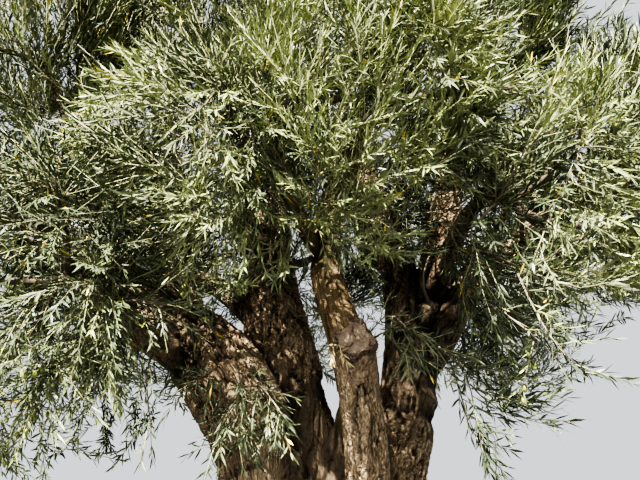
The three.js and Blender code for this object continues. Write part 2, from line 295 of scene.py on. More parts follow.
limbs = {
    "left_bough": {
        "course": [(-0.09, -0.04, 1.1), (-0.056, -0.131, 2.028), (-0.623, 0.064, 2.328), (-1.4, 0, 2.79)],
        "thick": 0.285, "thin": 0.052,
    },
    "middle_left_bough": {
        "course": [
            (-0.05, -0.06, 1.1), (-0.078, -0.232, 1.704), (-0.181, 0.273, 2.421), (-0.42, 0.16, 3.43),
        ],
        "thick": 0.25, "thin": 0.055,
    },
    "centre_bough": {
        "course": [(0.165, -0.12, 1.1), (0.254, -0.62, 2.485), (-0.169, 0.023, 2.21), (0.13, -0.43, 2.9)],
        "thick": 0.084, "thin": 0.047, "taper": 0.6,
    },
    "right_bough": {
        "course": [(0.17, 0, 1.1), (0.271, -0.097, 1.827), (0.555, 0.157, 2.376), (0.68, 0.12, 3.32)],
        "thick": 0.165, "thin": 0.05,
    },
    "back_bough": {
        "course": [(-0.04, 0.1, 1.1), (-0.16, 0.35, 1.85), (-0.24, 0.66, 2.33), (-0.25, 0.96, 2.82)],
        "thick": 0.155, "thin": 0.05,
    },
    "left_hanging_branch": {
        "on": "left_bough", "along": 0.5, "course": [(-0.66, -0.16, 2.12), (-0.9, -0.42, 2.36)],
        "thick": 0.09, "thin": 0.028,
    },
    "left_upper_branch": {
        "on": "left_bough", "along": 0.52, "course": [(-0.62, -0.06, 2.5), (-1.02, -0.21, 3.01)],
        "thick": 0.095, "thin": 0.034,
    },
    "back_left_branch": {
        "on": "middle_left_bough", "along": 0.5, "course": [(-0.28, 0.2, 2.5), (-0.79, 0.61, 2.75)],
        "thick": 0.092, "thin": 0.034,
    },
    "front_upper_branch": {
        "on": "middle_left_bough", "along": 0.64, "course": [(-0.16, -0.04, 2.9), (-0.18, -0.27, 3.33)],
        "thick": 0.062, "thin": 0.028,
    },
    "front_left_branch": {
        "on": "centre_bough", "along": 0.7, "course": [(-0.06, -0.33, 2.64), (-0.24, -0.52, 2.88)],
        "thick": 0.044, "thin": 0.024,
    },
    "far_right_branch": {
        "on": "right_bough", "along": 0.46, "course": [(0.63, 0.05, 2.54), (1.06, 0.02, 2.82)],
        "thick": 0.1, "thin": 0.034,
    },
    "right_front_branch": {
        "on": "right_bough", "along": 0.62, "course": [(0.57, -0.18, 2.68), (0.64, -0.43, 2.7)],
        "thick": 0.056, "thin": 0.026,
    },
    "back_right_branch": {
        "on": "right_bough", "along": 0.5, "course": [(0.58, 0.36, 2.42), (0.78, 0.66, 2.74)],
        "thick": 0.08, "thin": 0.034,
    },
    "crown_branch": {
        "on": "right_bough", "along": 0.42, "course": [(0.46, 0.08, 2.6), (0.15, 0.5, 3.56)],
        "thick": 0.13, "thin": 0.034,
    },
    "dead_point": {
        "course": [(0.05, -0.12, 1.5), (0.06, -0.15, 1.65), (0.072, -0.205, 1.79), (0.084, -0.245, 1.93)],
        "thick": 0.11, "thin": 0.012,
    },
}


def guidesOf(limb):
    points = [np.array(point, float) for point in limb["course"]]
    if len(points) == 4:
        return points
    foot = curvePoint(guidesOf(limbs[limb["on"]]), limb["along"])
    bend, tip = points
    return [foot, foot + (bend - foot) * 2 / 3, tip + (bend - tip) * 2 / 3, tip]


def curvePoint(guides, share):
    a, b, c, d = guides
    rest = 1 - share
    return a * rest ** 3 + 3 * b * rest ** 2 * share + 3 * c * rest * share ** 2 + d * share ** 3


def curveHeading(guides, share):
    a, b, c, d = guides
    rest = 1 - share
    slope = (b - a) * rest ** 2 + 2 * (c - b) * rest * share + (d - c) * share ** 2
    return slope / np.linalg.norm(slope)


def limbRadius(limb, share):
    return limb["thin"] + (limb["thick"] - limb["thin"]) * (1 - share) ** limb.get("taper", 1.0)


# Bark: tubes on the limbs' curves and a fluted column, fused and then carved. The centre bough is a
# piece of its own, because its bark is smooth, with the sawn stub in it.

bark = {
    "noiseSeed": 7,         # left out, the furrows would wander another way in every run
    "voxel": 0.0074,
    "fineVoxel": 0.0048,    # for the centre bough
    "soften": (0.5, 6),     # factor and rounds
    "facets": 5,            # of a tube's quarter round and of each stretch along it
    "cuts": 9,              # curve points between a limb's foot and tip
    "stations": 26,         # places on a limb from which its grain is measured
    "columnSides": 72,
    "columnStep": 0.09,
    "height": 1.78,
    "halfWidth": 0.40,
    "halfDepth": 0.33,
    "flareReach": 0.20,
    "flareHeight": 0.26,
    "lean": 0.04,
    "flute": 0.075,         # depth of the flutes, as a share
    "flutes": (5, 8),       # round the trunk, in two sets
    "roots": (6, 0.4),      # count and swelling of the roots in the flare
    "waist": 0.1,           # how far the trunk draws in halfway up
    "topDraw": 0.38,        # and at its top
    "muscle": 0.018,        # long swellings, metres
    "crease": 0.012,        # furrows between the cords of bark
    "lump": 0.0058,         # knobs a finger wide
    "chip": 0.0022,
    "lumpSize": 0.0175,
    "chipSize": 0.0095,
    "knobStrength": 2.8,
    "recessShade": (0.50, 0.45, 0.30),    # painted shade in furrows, between knobs and between chips
    "muscleScale": 6.5,     # noise to a metre
    "furrowScale": 19.0,
    "furrowWidth": 0.12,
    "sway": 0.022,          # how far the furrows wander
    "tall": 0.13,           # radius of a limb that bears the full relief
    "settle": 0.05,         # how far the boughs' grain reaches into the trunk's
    "settleFrom": 1.1,      # height at which it starts
    "settleOver": 0.5,
    "seam": 0.014,          # where two boughs grow together
    "seamWidth": (0.010, 0.012, 0.03),    # of the mixed grain, of the groove and of its depth
    "seamShade": 0.55,
    "apart": (1.7, 0.9, 2.3),             # step in the noise from limb to limb
    "scarShade": 30.0,       # how much painted shade a metre of a scar's depth gives it
    "stretch": 4.2,         # how much longer than wide the furrows run
    "lumpStretch": 2.3,
    "twist": -0.8,          # turn of the grain, radians a metre
    "trunkTop": 1.45,       # where the trunk's piece ends and the boughs' pieces begin
    "divide": 0.12,         # between the left and the right boughs' pieces
    "calmFrom": 2.03,       # where the centre bough's bark turns smooth
    "calmOver": 0.12,
    "calmLeast": 0.10,      # of that smoothness which it has below there
    "calmShare": 0.86,      # of the relief that smooth bark lacks
    "crownShade": 0.26,     # painted shade: the limbs darken inside the crown
    "shadeFrom": 2.12,
    "shadeOver": 0.4,
    "footPlain": 0.06,      # height over which the relief fades out at the ground
    "footFlat": 0.006,      # and what lies flat on it
    "trunkShare": 0.42,     # of the faces that the trunk's piece keeps
    "boughShare": 0.75,
}

# Places where the bark sinks (deep above 0), with painted shade by its depth, or swells: place, half size,
# depth
scars = [
    ((0.335, -0.12, 2.05), (0.012, 0.06, 0.062), 0.016),     # slot in the right bough
    ((0.375, -0.12, 1.98), (0.040, 0.06, 0.060), -0.009),    # lobe beside it
    ((-0.505, -0.17, 2.07), (0.032, 0.08, 0.036), 0.030),    # hollow under the left bough's ridge
    ((-0.175, -0.06, 2.28), (0.020, 0.06, 0.030), 0.022),    # hole in the middle-left bough
    ((-0.10, -0.12, 2.02), (0.022, 0.08, 0.12), 0.014),
    ((-0.21, -0.15, 1.93), (0.03, 0.08, 0.09), 0.016),
    ((0.02, -0.03, 1.99), (0.040, 0.12, 0.110), 0.024),      # beside the gap
    ((0.04, -0.38, 2.19), (0.012, 0.03, 0.014), 0.008),      # knot in the smooth limb
    ((0.165, -0.385, 1.95), (0.036, 0.05, 0.06), 0.007),     # hollows under the stub, with painted shade
    ((0.190, -0.350, 1.84), (0.024, 0.06, 0.07), 0.006),
]
# Upright cracks in the smooth limb
scars += [((0.052 - 0.03 * i, -0.37, 2.22 + 0.07 * i), (0.007, 0.03, 0.045), 0.006) for i in range(5)]

sawnStub = {
    "on": "centre_bough", "along": 0.3, "course": [(0.13, -0.36, 2.115), (0.125, -0.435, 2.118)],
    "thick": 0.080, "thin": 0.068,
}
smoothLimbs = {
    "centre_bough": limbs["centre_bough"],
    "front_left_branch": limbs["front_left_branch"],
    "sawn_stub": sawnStub,
}
roughLimbs = {name: limb for name, limb in limbs.items() if name not in smoothLimbs}


def limbTube(name, limb):
    bpy.ops.curve.primitive_bezier_curve_add(radius=1, location=(0, 0, 0))
    tube = bpy.context.object
    tube.name = name + "Core"
    spline = tube.data.splines[0]
    foot, lead, draw, tip = [Vector(point) for point in guidesOf(limb)]
    start, end = spline.bezier_points
    for point in (start, end):
        point.handle_left_type = "FREE"
        point.handle_right_type = "FREE"
    start.co, start.handle_left, start.handle_right = foot, foot * 2 - lead, lead
    end.co, end.handle_left, end.handle_right = tip, draw, tip * 2 - draw
    bpy.ops.object.mode_set(mode="EDIT")
    bpy.ops.curve.select_all(action="SELECT")
    bpy.ops.curve.subdivide(number_cuts=bark["cuts"])
    bpy.ops.object.mode_set(mode="OBJECT")
    points = tube.data.splines[0].bezier_points
    for place, point in enumerate(points):
        point.radius = limbRadius(limb, place / (len(points) - 1))
    tube.data.dimensions = "3D"
    tube.data.bevel_depth = 1.0
    tube.data.bevel_resolution = bark["facets"]
    tube.data.resolution_u = bark["facets"]
    tube.data.use_fill_caps = True
    bpy.ops.object.convert(target="MESH")
    return bpy.context.object


# A round column one metre in radius, raised from a disc in steps
def raisedDisc(name, sides, height, steps):
    bpy.ops.mesh.primitive_circle_add(vertices=sides, radius=1, fill_type="NGON")
    disc = bpy.context.object
    disc.name = name
    bpy.ops.object.mode_set(mode="EDIT")
    bpy.ops.mesh.select_all(action="SELECT")
    for _ in range(steps):
        bpy.ops.mesh.extrude_region_move(TRANSFORM_OT_translate={"value": (0, 0, height / steps)})
    bpy.ops.mesh.select_all(action="SELECT")
    bpy.ops.mesh.normals_make_consistent(inside=False)
    bpy.ops.object.mode_set(mode="OBJECT")
    return disc


def trunkColumn():
    roots, swelling = bark["roots"]
    broad, narrow = bark["flutes"]
    rings = round(bark["height"] / bark["columnStep"])
    column = raisedDisc("trunkCore", bark["columnSides"], bark["height"], rings)
    for vertex in column.data.vertices:
        height = vertex.co.z
        share = height / bark["height"]
        angle = math.atan2(vertex.co.y, vertex.co.x)
        flare = bark["flareReach"] * math.exp(-height / bark["flareHeight"])
        flare *= 1 + swelling * math.cos(roots * angle + 0.5)
        flutes = math.cos(broad * angle + 1.5 * share) + 0.7 * math.cos(narrow * angle - share)
        waist = 1 - bark["waist"] * math.sin(math.pi * share) - bark["topDraw"] * share ** 6
        waist *= 1 + bark["flute"] * flutes
        vertex.co.x = math.cos(angle) * (bark["halfWidth"] * waist + flare)
        vertex.co.y = math.sin(angle) * (bark["halfDepth"] * waist + flare)
        vertex.co.x += bark["lean"] * (share ** 2 - share)
    return column


def fuse(cores, name, voxel):
    deselectAll()
    for core in cores:
        core.select_set(True)
    bpy.context.view_layer.objects.active = cores[0]
    if len(cores) > 1:
        bpy.ops.object.join()
    fused = bpy.context.object
    fused.name = name
    remesh = fused.modifiers.new("fuse", "REMESH")
    remesh.mode = "VOXEL"
    remesh.voxel_size = voxel
    bpy.ops.object.modifier_apply(modifier=remesh.name)
    smooth = fused.modifiers.new("soften", "SMOOTH")
    smooth.factor, smooth.iterations = bark["soften"]
    bpy.ops.object.modifier_apply(modifier=smooth.name)
    return fused


def stations(limb):
    guides = guidesOf(limb)
    shares = np.linspace(0, 1, bark["stations"])
    places = np.array([curvePoint(guides, share) for share in shares])
    headings = np.array([curveHeading(guides, share) for share in shares])
    side = np.cross((0, 1, 0), guides[3] - guides[0])
    sides = side - headings * (headings @ side)[:, None]
    sides /= np.linalg.norm(sides, axis=1)[:, None]
    lengths = np.concatenate([[0], np.cumsum(np.linalg.norm(np.diff(places, axis=0), axis=1))])
    radii = np.array([limbRadius(limb, share) for share in shares])
    return {"places": places, "sides": sides, "ups": np.cross(headings, sides), "lengths": lengths,
            "radii": radii}


# The trunk as if it were a limb, for its grain
trunkAxis = {
    "course": [(0, 0, 0), (0, 0, 0.6), (0, 0, 1.2), (0, 0, bark["height"])],
    "thick": 0.36, "thin": 0.30,
}


# Where every point lies on a limb: distance off its skin, angle round it, length along it, radius
def onLimb(points, line):
    best = np.full(len(points), 1e9)
    found = np.zeros((len(points), 4))
    for i in range(bark["stations"] - 1):
        start, end = line["places"][i], line["places"][i + 1]
        way = end - start
        share = np.clip((points - start) @ way / (way @ way), 0, 1)
        off = points - start - share[:, None] * way
        radius = line["radii"][i] * (1 - share) + line["radii"][i + 1] * share
        distance = np.linalg.norm(off, axis=1) - radius
        closer = distance < best
        angle = np.arctan2(off @ line["ups"][i], off @ line["sides"][i])
        length = line["lengths"][i] * (1 - share) + line["lengths"][i + 1] * share
        values = np.stack([distance, angle, length, radius], axis=1)
        found[closer] = values[closer]
        best = np.minimum(best, distance)
    return found


# Rounded knobs from 0 in the cracks between them to 1
def knobs(spot, size):
    spot = spot / size
    return min(1.0, abs(noise.noise(spot) + 0.45 * noise.noise(spot * 2.3)) * bark["knobStrength"])


def barkRelief(place, around, along, rough):
    sway = noise.noise_vector(place * 7) * bark["sway"]
    long = Vector((around[0], around[1], along / bark["stretch"])) + sway
    muscle = noise.noise(long * bark["muscleScale"])
    furrow = math.exp(-(noise.noise(long * bark["furrowScale"]) / bark["furrowWidth"]) ** 2)
    short = Vector((around[0], around[1], along / bark["lumpStretch"])) + sway
    lump = knobs(short, bark["lumpSize"])
    chip = knobs(short + Vector((3, 5, 7)), bark["chipSize"])
    ridges = bark["crease"] * (0.3 - furrow) + bark["lump"] * (lump - 0.6) + bark["chip"] * (chip - 0.6)
    lift = bark["muscle"] * muscle + rough * ridges
    # Painted shade in furrows, between knobs and between chips, and where the long swellings dip
    inFurrow, byLump, byChip = bark["recessShade"]
    dark = rough * (inFurrow * furrow + byLump * (1 - lump) ** 2 + byChip * (1 - chip) ** 2)
    return lift, dark + max(0.0, -muscle * 0.4)


def vertexArray(mesh, what):
    values = np.empty(len(mesh.vertices) * 3)
    mesh.vertices.foreach_get(what, values)
    return values.reshape(-1, 3)


# Keeps a value for every vertex, which the materials read
def markMesh(mesh, name, values):
    mesh.attributes.new(name, "FLOAT", "POINT").data.foreach_set("value", values)


def carveBark(piece, lines, calmFrom, calmLeast, withTrunk):
    mesh = piece.data
    count = len(mesh.vertices)
    points = vertexArray(mesh, "co")
    normals = vertexArray(mesh, "normal")
    places = np.stack([onLimb(points, line) for line in lines])
    if withTrunk:    # its own grain gives way to the boughs'
        climb = np.clip((points[:, 2] - bark["settleFrom"]) / bark["settleOver"], 0, 1)
        places[0, :, 0] += bark["settle"] * climb
    order = np.argsort(places[:, :, 0], axis=0)
    everyPoint = np.arange(count)
    first = places[order[0], everyPoint]
    second = places[order[1], everyPoint]
    between = second[:, 0] - first[:, 0]
    mixing, width, depth = bark["seamWidth"]
    apartX, apartY, apartZ = bark["apart"]
    nearness = 1 / (1 + np.exp(np.clip(between / mixing, -50, 50)))
    seam = np.exp(-(between / width) ** 2 - (first[:, 0] / depth) ** 2)
    if withTrunk:
        seam *= (order[0] > 0) & (order[1] > 0)
    lift = -bark["seam"] * seam
    # Painted shade, kept on the mesh for the material: in the groove where two boughs meet
    paintedShade = bark["seamShade"] * seam
    grain = np.zeros((count, 3))
    calm = np.zeros(count)
    for which, found, weight in ((order[0], first, 1 - nearness), (order[1], second, nearness)):
        turn = found[:, 1] + bark["twist"] * found[:, 2]
        reach = np.maximum(found[:, 3], 0.03)
        spot = np.stack([np.cos(turn) * reach + which * apartX, np.sin(turn) * reach + which * apartY,
                         found[:, 2] + which * apartZ], axis=1)
        smoothHere = np.clip((points[:, 2] - calmFrom) / bark["calmOver"], calmLeast, 1)
        size = np.clip(found[:, 3] / bark["tall"], 0.25, 1.1)
        for i in np.nonzero(weight > 0.02)[0]:
            place = Vector(points[i])
            rough = 1 - bark["calmShare"] * smoothHere[i]
            rise, dark = barkRelief(place, spot[i, :2], spot[i, 2], rough)
            lift[i] += weight[i] * size[i] * rise
            # painted shade in the bark's furrows and between its knobs
            paintedShade[i] += weight[i] * dark
        grain += spot * weight[:, None]
        calm += smoothHere * weight
    for place, reach, depth in scars:
        near = np.exp(-np.sum(((points - place) / reach) ** 2, axis=1))
        lift -= depth * near
        # painted shade on sunken scars, darker the deeper they sink
        paintedShade += near * bark["scarShade"] * max(depth, 0)
    # painted shade on the limbs inside the crown, darker higher up
    paintedShade += bark["crownShade"] * np.clip((points[:, 2] - bark["shadeFrom"]) / bark["shadeOver"], 0, 1)
    lift *= np.clip(points[:, 2] / bark["footPlain"], 0, 1)
    points += normals * lift[:, None]
    points[:, 2] = np.maximum(points[:, 2], 0)
    points[points[:, 2] < bark["footFlat"], 2] = 0
    mesh.vertices.foreach_set("co", points.ravel())
    mesh.attributes.new("grain", "FLOAT_VECTOR", "POINT").data.foreach_set("vector", grain.ravel())
    markMesh(mesh, "paintedShade", np.clip(paintedShade, 0, 1))
    markMesh(mesh, "calm", calm)
    mesh.update()


def barkPaint():
    paint = Paint("fissuredBark", 0.9, gloss=0.22)
    grain = paint.attribute("grain", "Vector")
    paintedShade = paint.attribute("paintedShade")
    calm = paint.attribute("calm")
    broad = paint.cloud(paint.stretched(grain, (1, 1, 0.35)), 7.0, 3.0)
    cords = paint.cloud(paint.stretched(grain, (1, 1, 0.28)), 40.0, 4.0, 0.65, 0.6)
    fine = paint.cloud(paint.stretched(grain, (1, 1, 0.6)), 130.0, 5.0, 0.75)
    streaks = paint.cloud(paint.stretched(grain, (1, 1, 0.10)), 70.0, 3.0, 0.6, 0.3)
    flakes = paint.cells(paint.stretched(paint.shaken(grain, 26.0, 0.045), (1, 1, 0.38)), 62.0)
    rough = paint.steps(broad * 0.25 + cords * 0.3 + fine * 0.45, [
        (0.36, (0.103, 0.072, 0.044, 1)),
        (0.45, (0.285, 0.205, 0.122, 1)),
        (0.53, (0.510, 0.378, 0.228, 1)),
        (0.62, (0.790, 0.615, 0.390, 1)),
    ])
    smooth = paint.steps(broad * 0.25 + streaks * 0.45 + fine * 0.30, [
        (0.40, (0.070, 0.046, 0.022, 1)),
        (0.50, (0.200, 0.142, 0.072, 1)),
        (0.60, (0.345, 0.258, 0.138, 1)),
    ])
    skin = paint.blend(calm, rough, smooth)
    # Painted shade: the cracks between the flakes of rough bark and the painted shade kept on the mesh
    # darken the skin towards near black
    cracks = (1.0 - calm) * (0.62 - flakes * 4.5).clamped()
    dark = (paintedShade * 1.05 - 0.20 + cracks * 0.70).clamped()
    paint.set("Base Color", paint.blend(dark, skin, (0.020, 0.013, 0.009, 1)))
    paint.set("Roughness", paint.remap(fine, 0.2, 0.8, 0.80, 0.98))
    relief = cords * 0.35 + fine * 0.45 + (flakes * (1.0 - calm * 0.9)) * 1.6
    paint.set("Normal", paint.bump(relief, 1.0, 0.022))
    return paint.material


def cutPiece(piece, place, facing, name):
    deselectAll()
    twin = piece.copy()
    twin.data = piece.data.copy()
    twin.name = name
    bpy.context.collection.objects.link(twin)
    for part, inner in ((piece, False), (twin, True)):
        makeActive(part)
        bpy.ops.object.mode_set(mode="EDIT")
        bpy.ops.mesh.select_all(action="SELECT")
        bpy.ops.mesh.bisect(plane_co=place, plane_no=facing, use_fill=True,
                            clear_inner=inner, clear_outer=not inner)
        bpy.ops.mesh.mark_sharp()
        bpy.ops.object.mode_set(mode="OBJECT")
    return twin


# Fewer faces, where the relief allows it
def thin(piece, share):
    makeActive(piece)
    fewer = piece.modifiers.new("fewer", "DECIMATE")
    fewer.ratio = share
    bpy.ops.object.modifier_apply(modifier=fewer.name)


def finishBark(piece, paint, slot, *nodes):
    for polygon in piece.data.polygons:
        polygon.use_smooth = True
    piece.data.materials.clear()
    piece.data.materials.append(paint)
    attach(piece, "root")
    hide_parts(*nodes)
    print(piece.name, len(piece.data.polygons), "faces")


# The stub's sawn face: a squarish disc of weathered wood with rings, checks and a rim of bark
cutFace = {
    "middle": (0.125, -0.440, 2.120),
    "facing": (-0.12, -1.0, 0.10),
    "sides": 48,
    "radius": 0.064,
    "depth": 0.035,
    "voxel": 0.0020,
    "core": (0.008, -0.006),        # the pith, off the middle
    "square": 0.18,
    "rimFlare": 1.12,
    "woodShare": 0.90,              # of the radius, inside the rim
    "rimWidth": 0.006,
    "rimKnob": 0.016,
    "rimRise": 0.006,
    "ringWidth": 0.0042,
    "ringRise": 0.0012,
    "wobble": 0.002,
    "checkWidth": 0.0017,
    "checkDepth": 0.004,
    "checks": (1.9, 3.9),           # directions of the cracks, radians
}


def cutFacePaint():
    paint = Paint("weatheredCut", 0.9, gloss=0.2)
    wood = paint.attribute("wood")
    ring = paint.attribute("ring")
    check = paint.attribute("check")
    speck = paint.cloud(paint.position(), 260.0, 5.0, 0.7)
    stain = paint.cloud(paint.position(), 38.0, 3.0)
    grey = paint.steps(speck * 0.45 + stain * 0.35 + ring * 0.20, [
        (0.36, (0.100, 0.068, 0.043, 1)),
        (0.50, (0.225, 0.165, 0.112, 1)),
        (0.64, (0.400, 0.315, 0.225, 1)),
    ])
    rim = paint.steps(speck, [(0.35, (0.060, 0.040, 0.026, 1)), (0.65, (0.300, 0.215, 0.150, 1))])
    skin = paint.blend(wood, rim, grey)
    # Painted shade in the checks and between the rim's knobs, towards near black
    paint.set("Base Color", paint.blend(check, skin, (0.016, 0.011, 0.008, 1)))
    paint.set("Normal", paint.bump(speck, 0.7, 0.004))
    return paint.material


def makeCutFace():
    face = raisedDisc("sawnFace", cutFace["sides"], cutFace["depth"], 1)
    for vertex in face.data.vertices:
        angle = math.atan2(vertex.co.y, vertex.co.x)
        square = 1 + cutFace["square"] * math.cos(4 * angle + 0.9) + 0.04 * math.cos(3 * angle + 2)
        flare = cutFace["rimFlare"] if vertex.co.z < 0.001 else 1.0
        vertex.co.x *= cutFace["radius"] * square * flare
        vertex.co.y *= cutFace["radius"] * square * flare
    fuse([face], "sawnFace", cutFace["voxel"])
    carveCutFace(face)
    turn = Vector(cutFace["facing"]).to_track_quat("Z", "Y").to_matrix().to_4x4()
    face.data.transform(Matrix.Translation(cutFace["middle"]) @ turn)
    finishBark(face, cutFacePaint(), "cut_wood", "sawn_stub")


def carveCutFace(face):
    marks = {"wood": [], "ring": [], "check": []}
    coreX, coreY = cutFace["core"]
    for vertex in face.data.vertices:
        x, y = vertex.co.x - coreX, vertex.co.y - coreY
        out, angle = math.hypot(x, y), math.atan2(y, x)
        wobble = cutFace["wobble"] * noise.noise(Vector((x, y, 0)) * 60)
        ring = 0.5 + 0.5 * math.sin((out + wobble) / cutFace["ringWidth"] * 2 * math.pi)
        edge = cutFace["radius"] * cutFace["woodShare"] - math.hypot(vertex.co.x, vertex.co.y)
        onTop = 1 if vertex.co.z > cutFace["depth"] * 0.8 else 0
        wood = min(1.0, max(0.0, edge / cutFace["rimWidth"])) * onTop
        check = 0.0
        for way in cutFace["checks"]:
            gap = math.remainder(angle - way - 2.5 * wobble / 0.01, 2 * math.pi) * out
            check = max(check, math.exp(-(gap / cutFace["checkWidth"]) ** 2) * min(1.0, out / 0.02))
        lump = knobs(vertex.co + Vector((1, 2, 3)), cutFace["rimKnob"])
        rise = wood * (cutFace["ringRise"] * ring - cutFace["checkDepth"] * check)
        rise += (1 - wood) * cutFace["rimRise"] * (lump - 0.4)
        vertex.co += vertex.normal * rise
        vertex.co.z += 0.003 * noise.noise(vertex.co * 30) * wood
        marks["wood"].append(wood)
        marks["ring"].append(ring)
        # painted shade in the checks and between the rim's knobs
        marks["check"].append(max(check * wood, (1 - wood) * (1 - lump) ** 2))
    for name, values in marks.items():
        markMesh(face.data, name, values)


def makeBark():
    noise.seed_set(bark["noiseSeed"])
    paint = barkPaint()
    cores = [trunkColumn()] + [limbTube(name, limb) for name, limb in roughLimbs.items()]
    trunk = fuse(cores, "trunkBark", bark["voxel"])
    lines = [stations(trunkAxis)] + [stations(limb) for limb in roughLimbs.values()]
    carveBark(trunk, lines, math.inf, 0.0, True)
    print("trunk and boughs fused and carved")
    rightBoughs = cutPiece(trunk, (0, 0, bark["trunkTop"]), (0, 0, 1), "rightBoughBark")
    leftBoughs = cutPiece(rightBoughs, (bark["divide"], 0, 0), (-1, 0, 0), "leftBoughBark")
    thin(trunk, bark["trunkShare"])
    thin(leftBoughs, bark["boughShare"])
    finishBark(trunk, paint, "bark", "trunk")
    finishBark(leftBoughs, paint, "bark", "trunk", "left_bough", "middle_left_bough", "back_bough",
               "left_hanging_branch", "left_upper_branch", "back_left_branch", "front_upper_branch")
    finishBark(rightBoughs, paint, "bark", "trunk", "right_bough", "far_right_branch",
               "right_front_branch", "back_right_branch", "crown_branch")
    cores = [limbTube(name, limb) for name, limb in smoothLimbs.items()]
    centre = fuse(cores, "centreBoughBark", bark["fineVoxel"])
    lines = [stations(limbs["centre_bough"]), stations(limbs["front_left_branch"])]
    carveBark(centre, lines, bark["calmFrom"], bark["calmLeast"], False)
    finishBark(centre, paint, "smooth_bark", "centre_bough", "front_left_branch", "sawn_stub")
    makeCutFace()


makeBark()
print("bark done")

# Foliage: every mass grows on from its limb's tip. A stem turns into the mass, twigs reach for ends
# spread by a golden spiral, branchlets do the same from the twigs, and leafy shoots stand on them.
# Hang above 0 lets shoots droop, below 0 they rise; sweep leans them one way. Shade above 0 deals out
# darker leaf tints as painted shade, below 0 lighter ones as painted light.

masses = {
    "foliage_far_left": {
        "limb": "left_bough", "middle": (-1.85, 0, 2.71), "reach": (0.65, 0.8, 0.8),
        "leaf": 0.80, "shade": 0.38, "silver": 0.15, "sweep": (-0.2, 0, 0),
    },
    "foliage_left_hanging": {
        "limb": "left_hanging_branch", "middle": (-0.96, -0.55, 2.3), "reach": (0.62, 0.5, 0.64),
        "hang": 0.15, "leaf": 0.70, "density": 1.7, "shade": 0.62, "silver": 0.1, "olives": 26,
    },
    "foliage_left_upper": {
        "limb": "left_upper_branch", "middle": (-1.26, -0.3, 3.46), "reach": (0.77, 0.75, 0.7),
        "leaf": 0.72, "density": 1.7, "shade": 0.2, "sweep": (0.25, -0.1, 0.2),
    },
    "foliage_top_left": {
        "limb": "middle_left_bough", "middle": (-0.56, 0.25, 4.02), "reach": (0.76, 0.75, 0.72),
        "leaf": 0.70, "density": 1.15, "sweep": (0.25, -0.1, 0.3),
    },
    "foliage_back_left": {
        "limb": "back_left_branch", "middle": (-1.15, 1.0, 3.0), "reach": (0.85, 0.76, 0.86),
        "density": 0.75, "leaf": 1.05, "shade": 0.2,
    },
    "foliage_front_upper": {
        "limb": "front_upper_branch", "middle": (-0.17, -0.56, 3.82), "reach": (0.7, 0.65, 0.62),
        "hang": -0.2, "leaf": 0.64, "density": 1.75, "shade": -0.15, "sweep": (0.3, -0.1, 0.1),
    },
    "foliage_front_left": {
        "limb": "front_left_branch", "middle": (-0.42, -0.62, 2.74), "reach": (0.52, 0.46, 0.52),
        "hang": 0.0, "leaf": 0.76, "density": 1.8, "olives": 5, "sweep": (-0.15, 0, 0),
    },
    "foliage_centre_front": {
        "limb": "centre_bough", "middle": (0.23, -0.74, 2.96), "reach": (0.6, 0.52, 0.64),
        "hang": -0.1, "leaf": 0.74, "density": 1.8, "shade": -0.05, "sweep": (0.3, -0.1, 0.0),
    },
    "foliage_top_right": {
        "limb": "right_bough", "middle": (0.8, 0.05, 3.88), "reach": (0.76, 0.75, 0.72),
        "leaf": 0.95, "density": 1.15, "sweep": (0.6, -0.1, 0.25),
    },
    "foliage_far_right": {
        "limb": "far_right_branch", "middle": (1.45, 0.05, 3.06), "reach": (0.64, 0.8, 0.68),
        "leaf": 0.95, "shade": 0.1, "sweep": (0.55, -0.1, 0.2),
    },
    "foliage_right_front": {
        "limb": "right_front_branch", "middle": (0.82, -0.62, 2.5), "reach": (0.43, 0.52, 0.66),
        "hang": 0.0, "leaf": 0.80, "density": 1.6, "shade": 0.1, "olives": 5, "sweep": (0.5, -0.1, 0.15),
    },
    "foliage_back": {
        "limb": "back_bough", "middle": (0, 1.35, 3.15), "reach": (0.76, 0.64, 0.86),
        "density": 0.75, "leaf": 1.05, "shade": 0.2,
    },
    "foliage_back_right": {
        "limb": "back_right_branch", "middle": (1.05, 0.95, 3.0), "reach": (0.8, 0.76, 0.86),
        "density": 0.75, "leaf": 1.05, "shade": 0.2,
    },
    "foliage_crown_top": {
        "limb": "crown_branch", "middle": (0.15, 0.65, 4.11), "reach": (0.76, 0.7, 0.68),
        "density": 0.9, "leaf": 1.05, "shade": 0.1, "sweep": (0.3, 0, 0.2),
    },
}

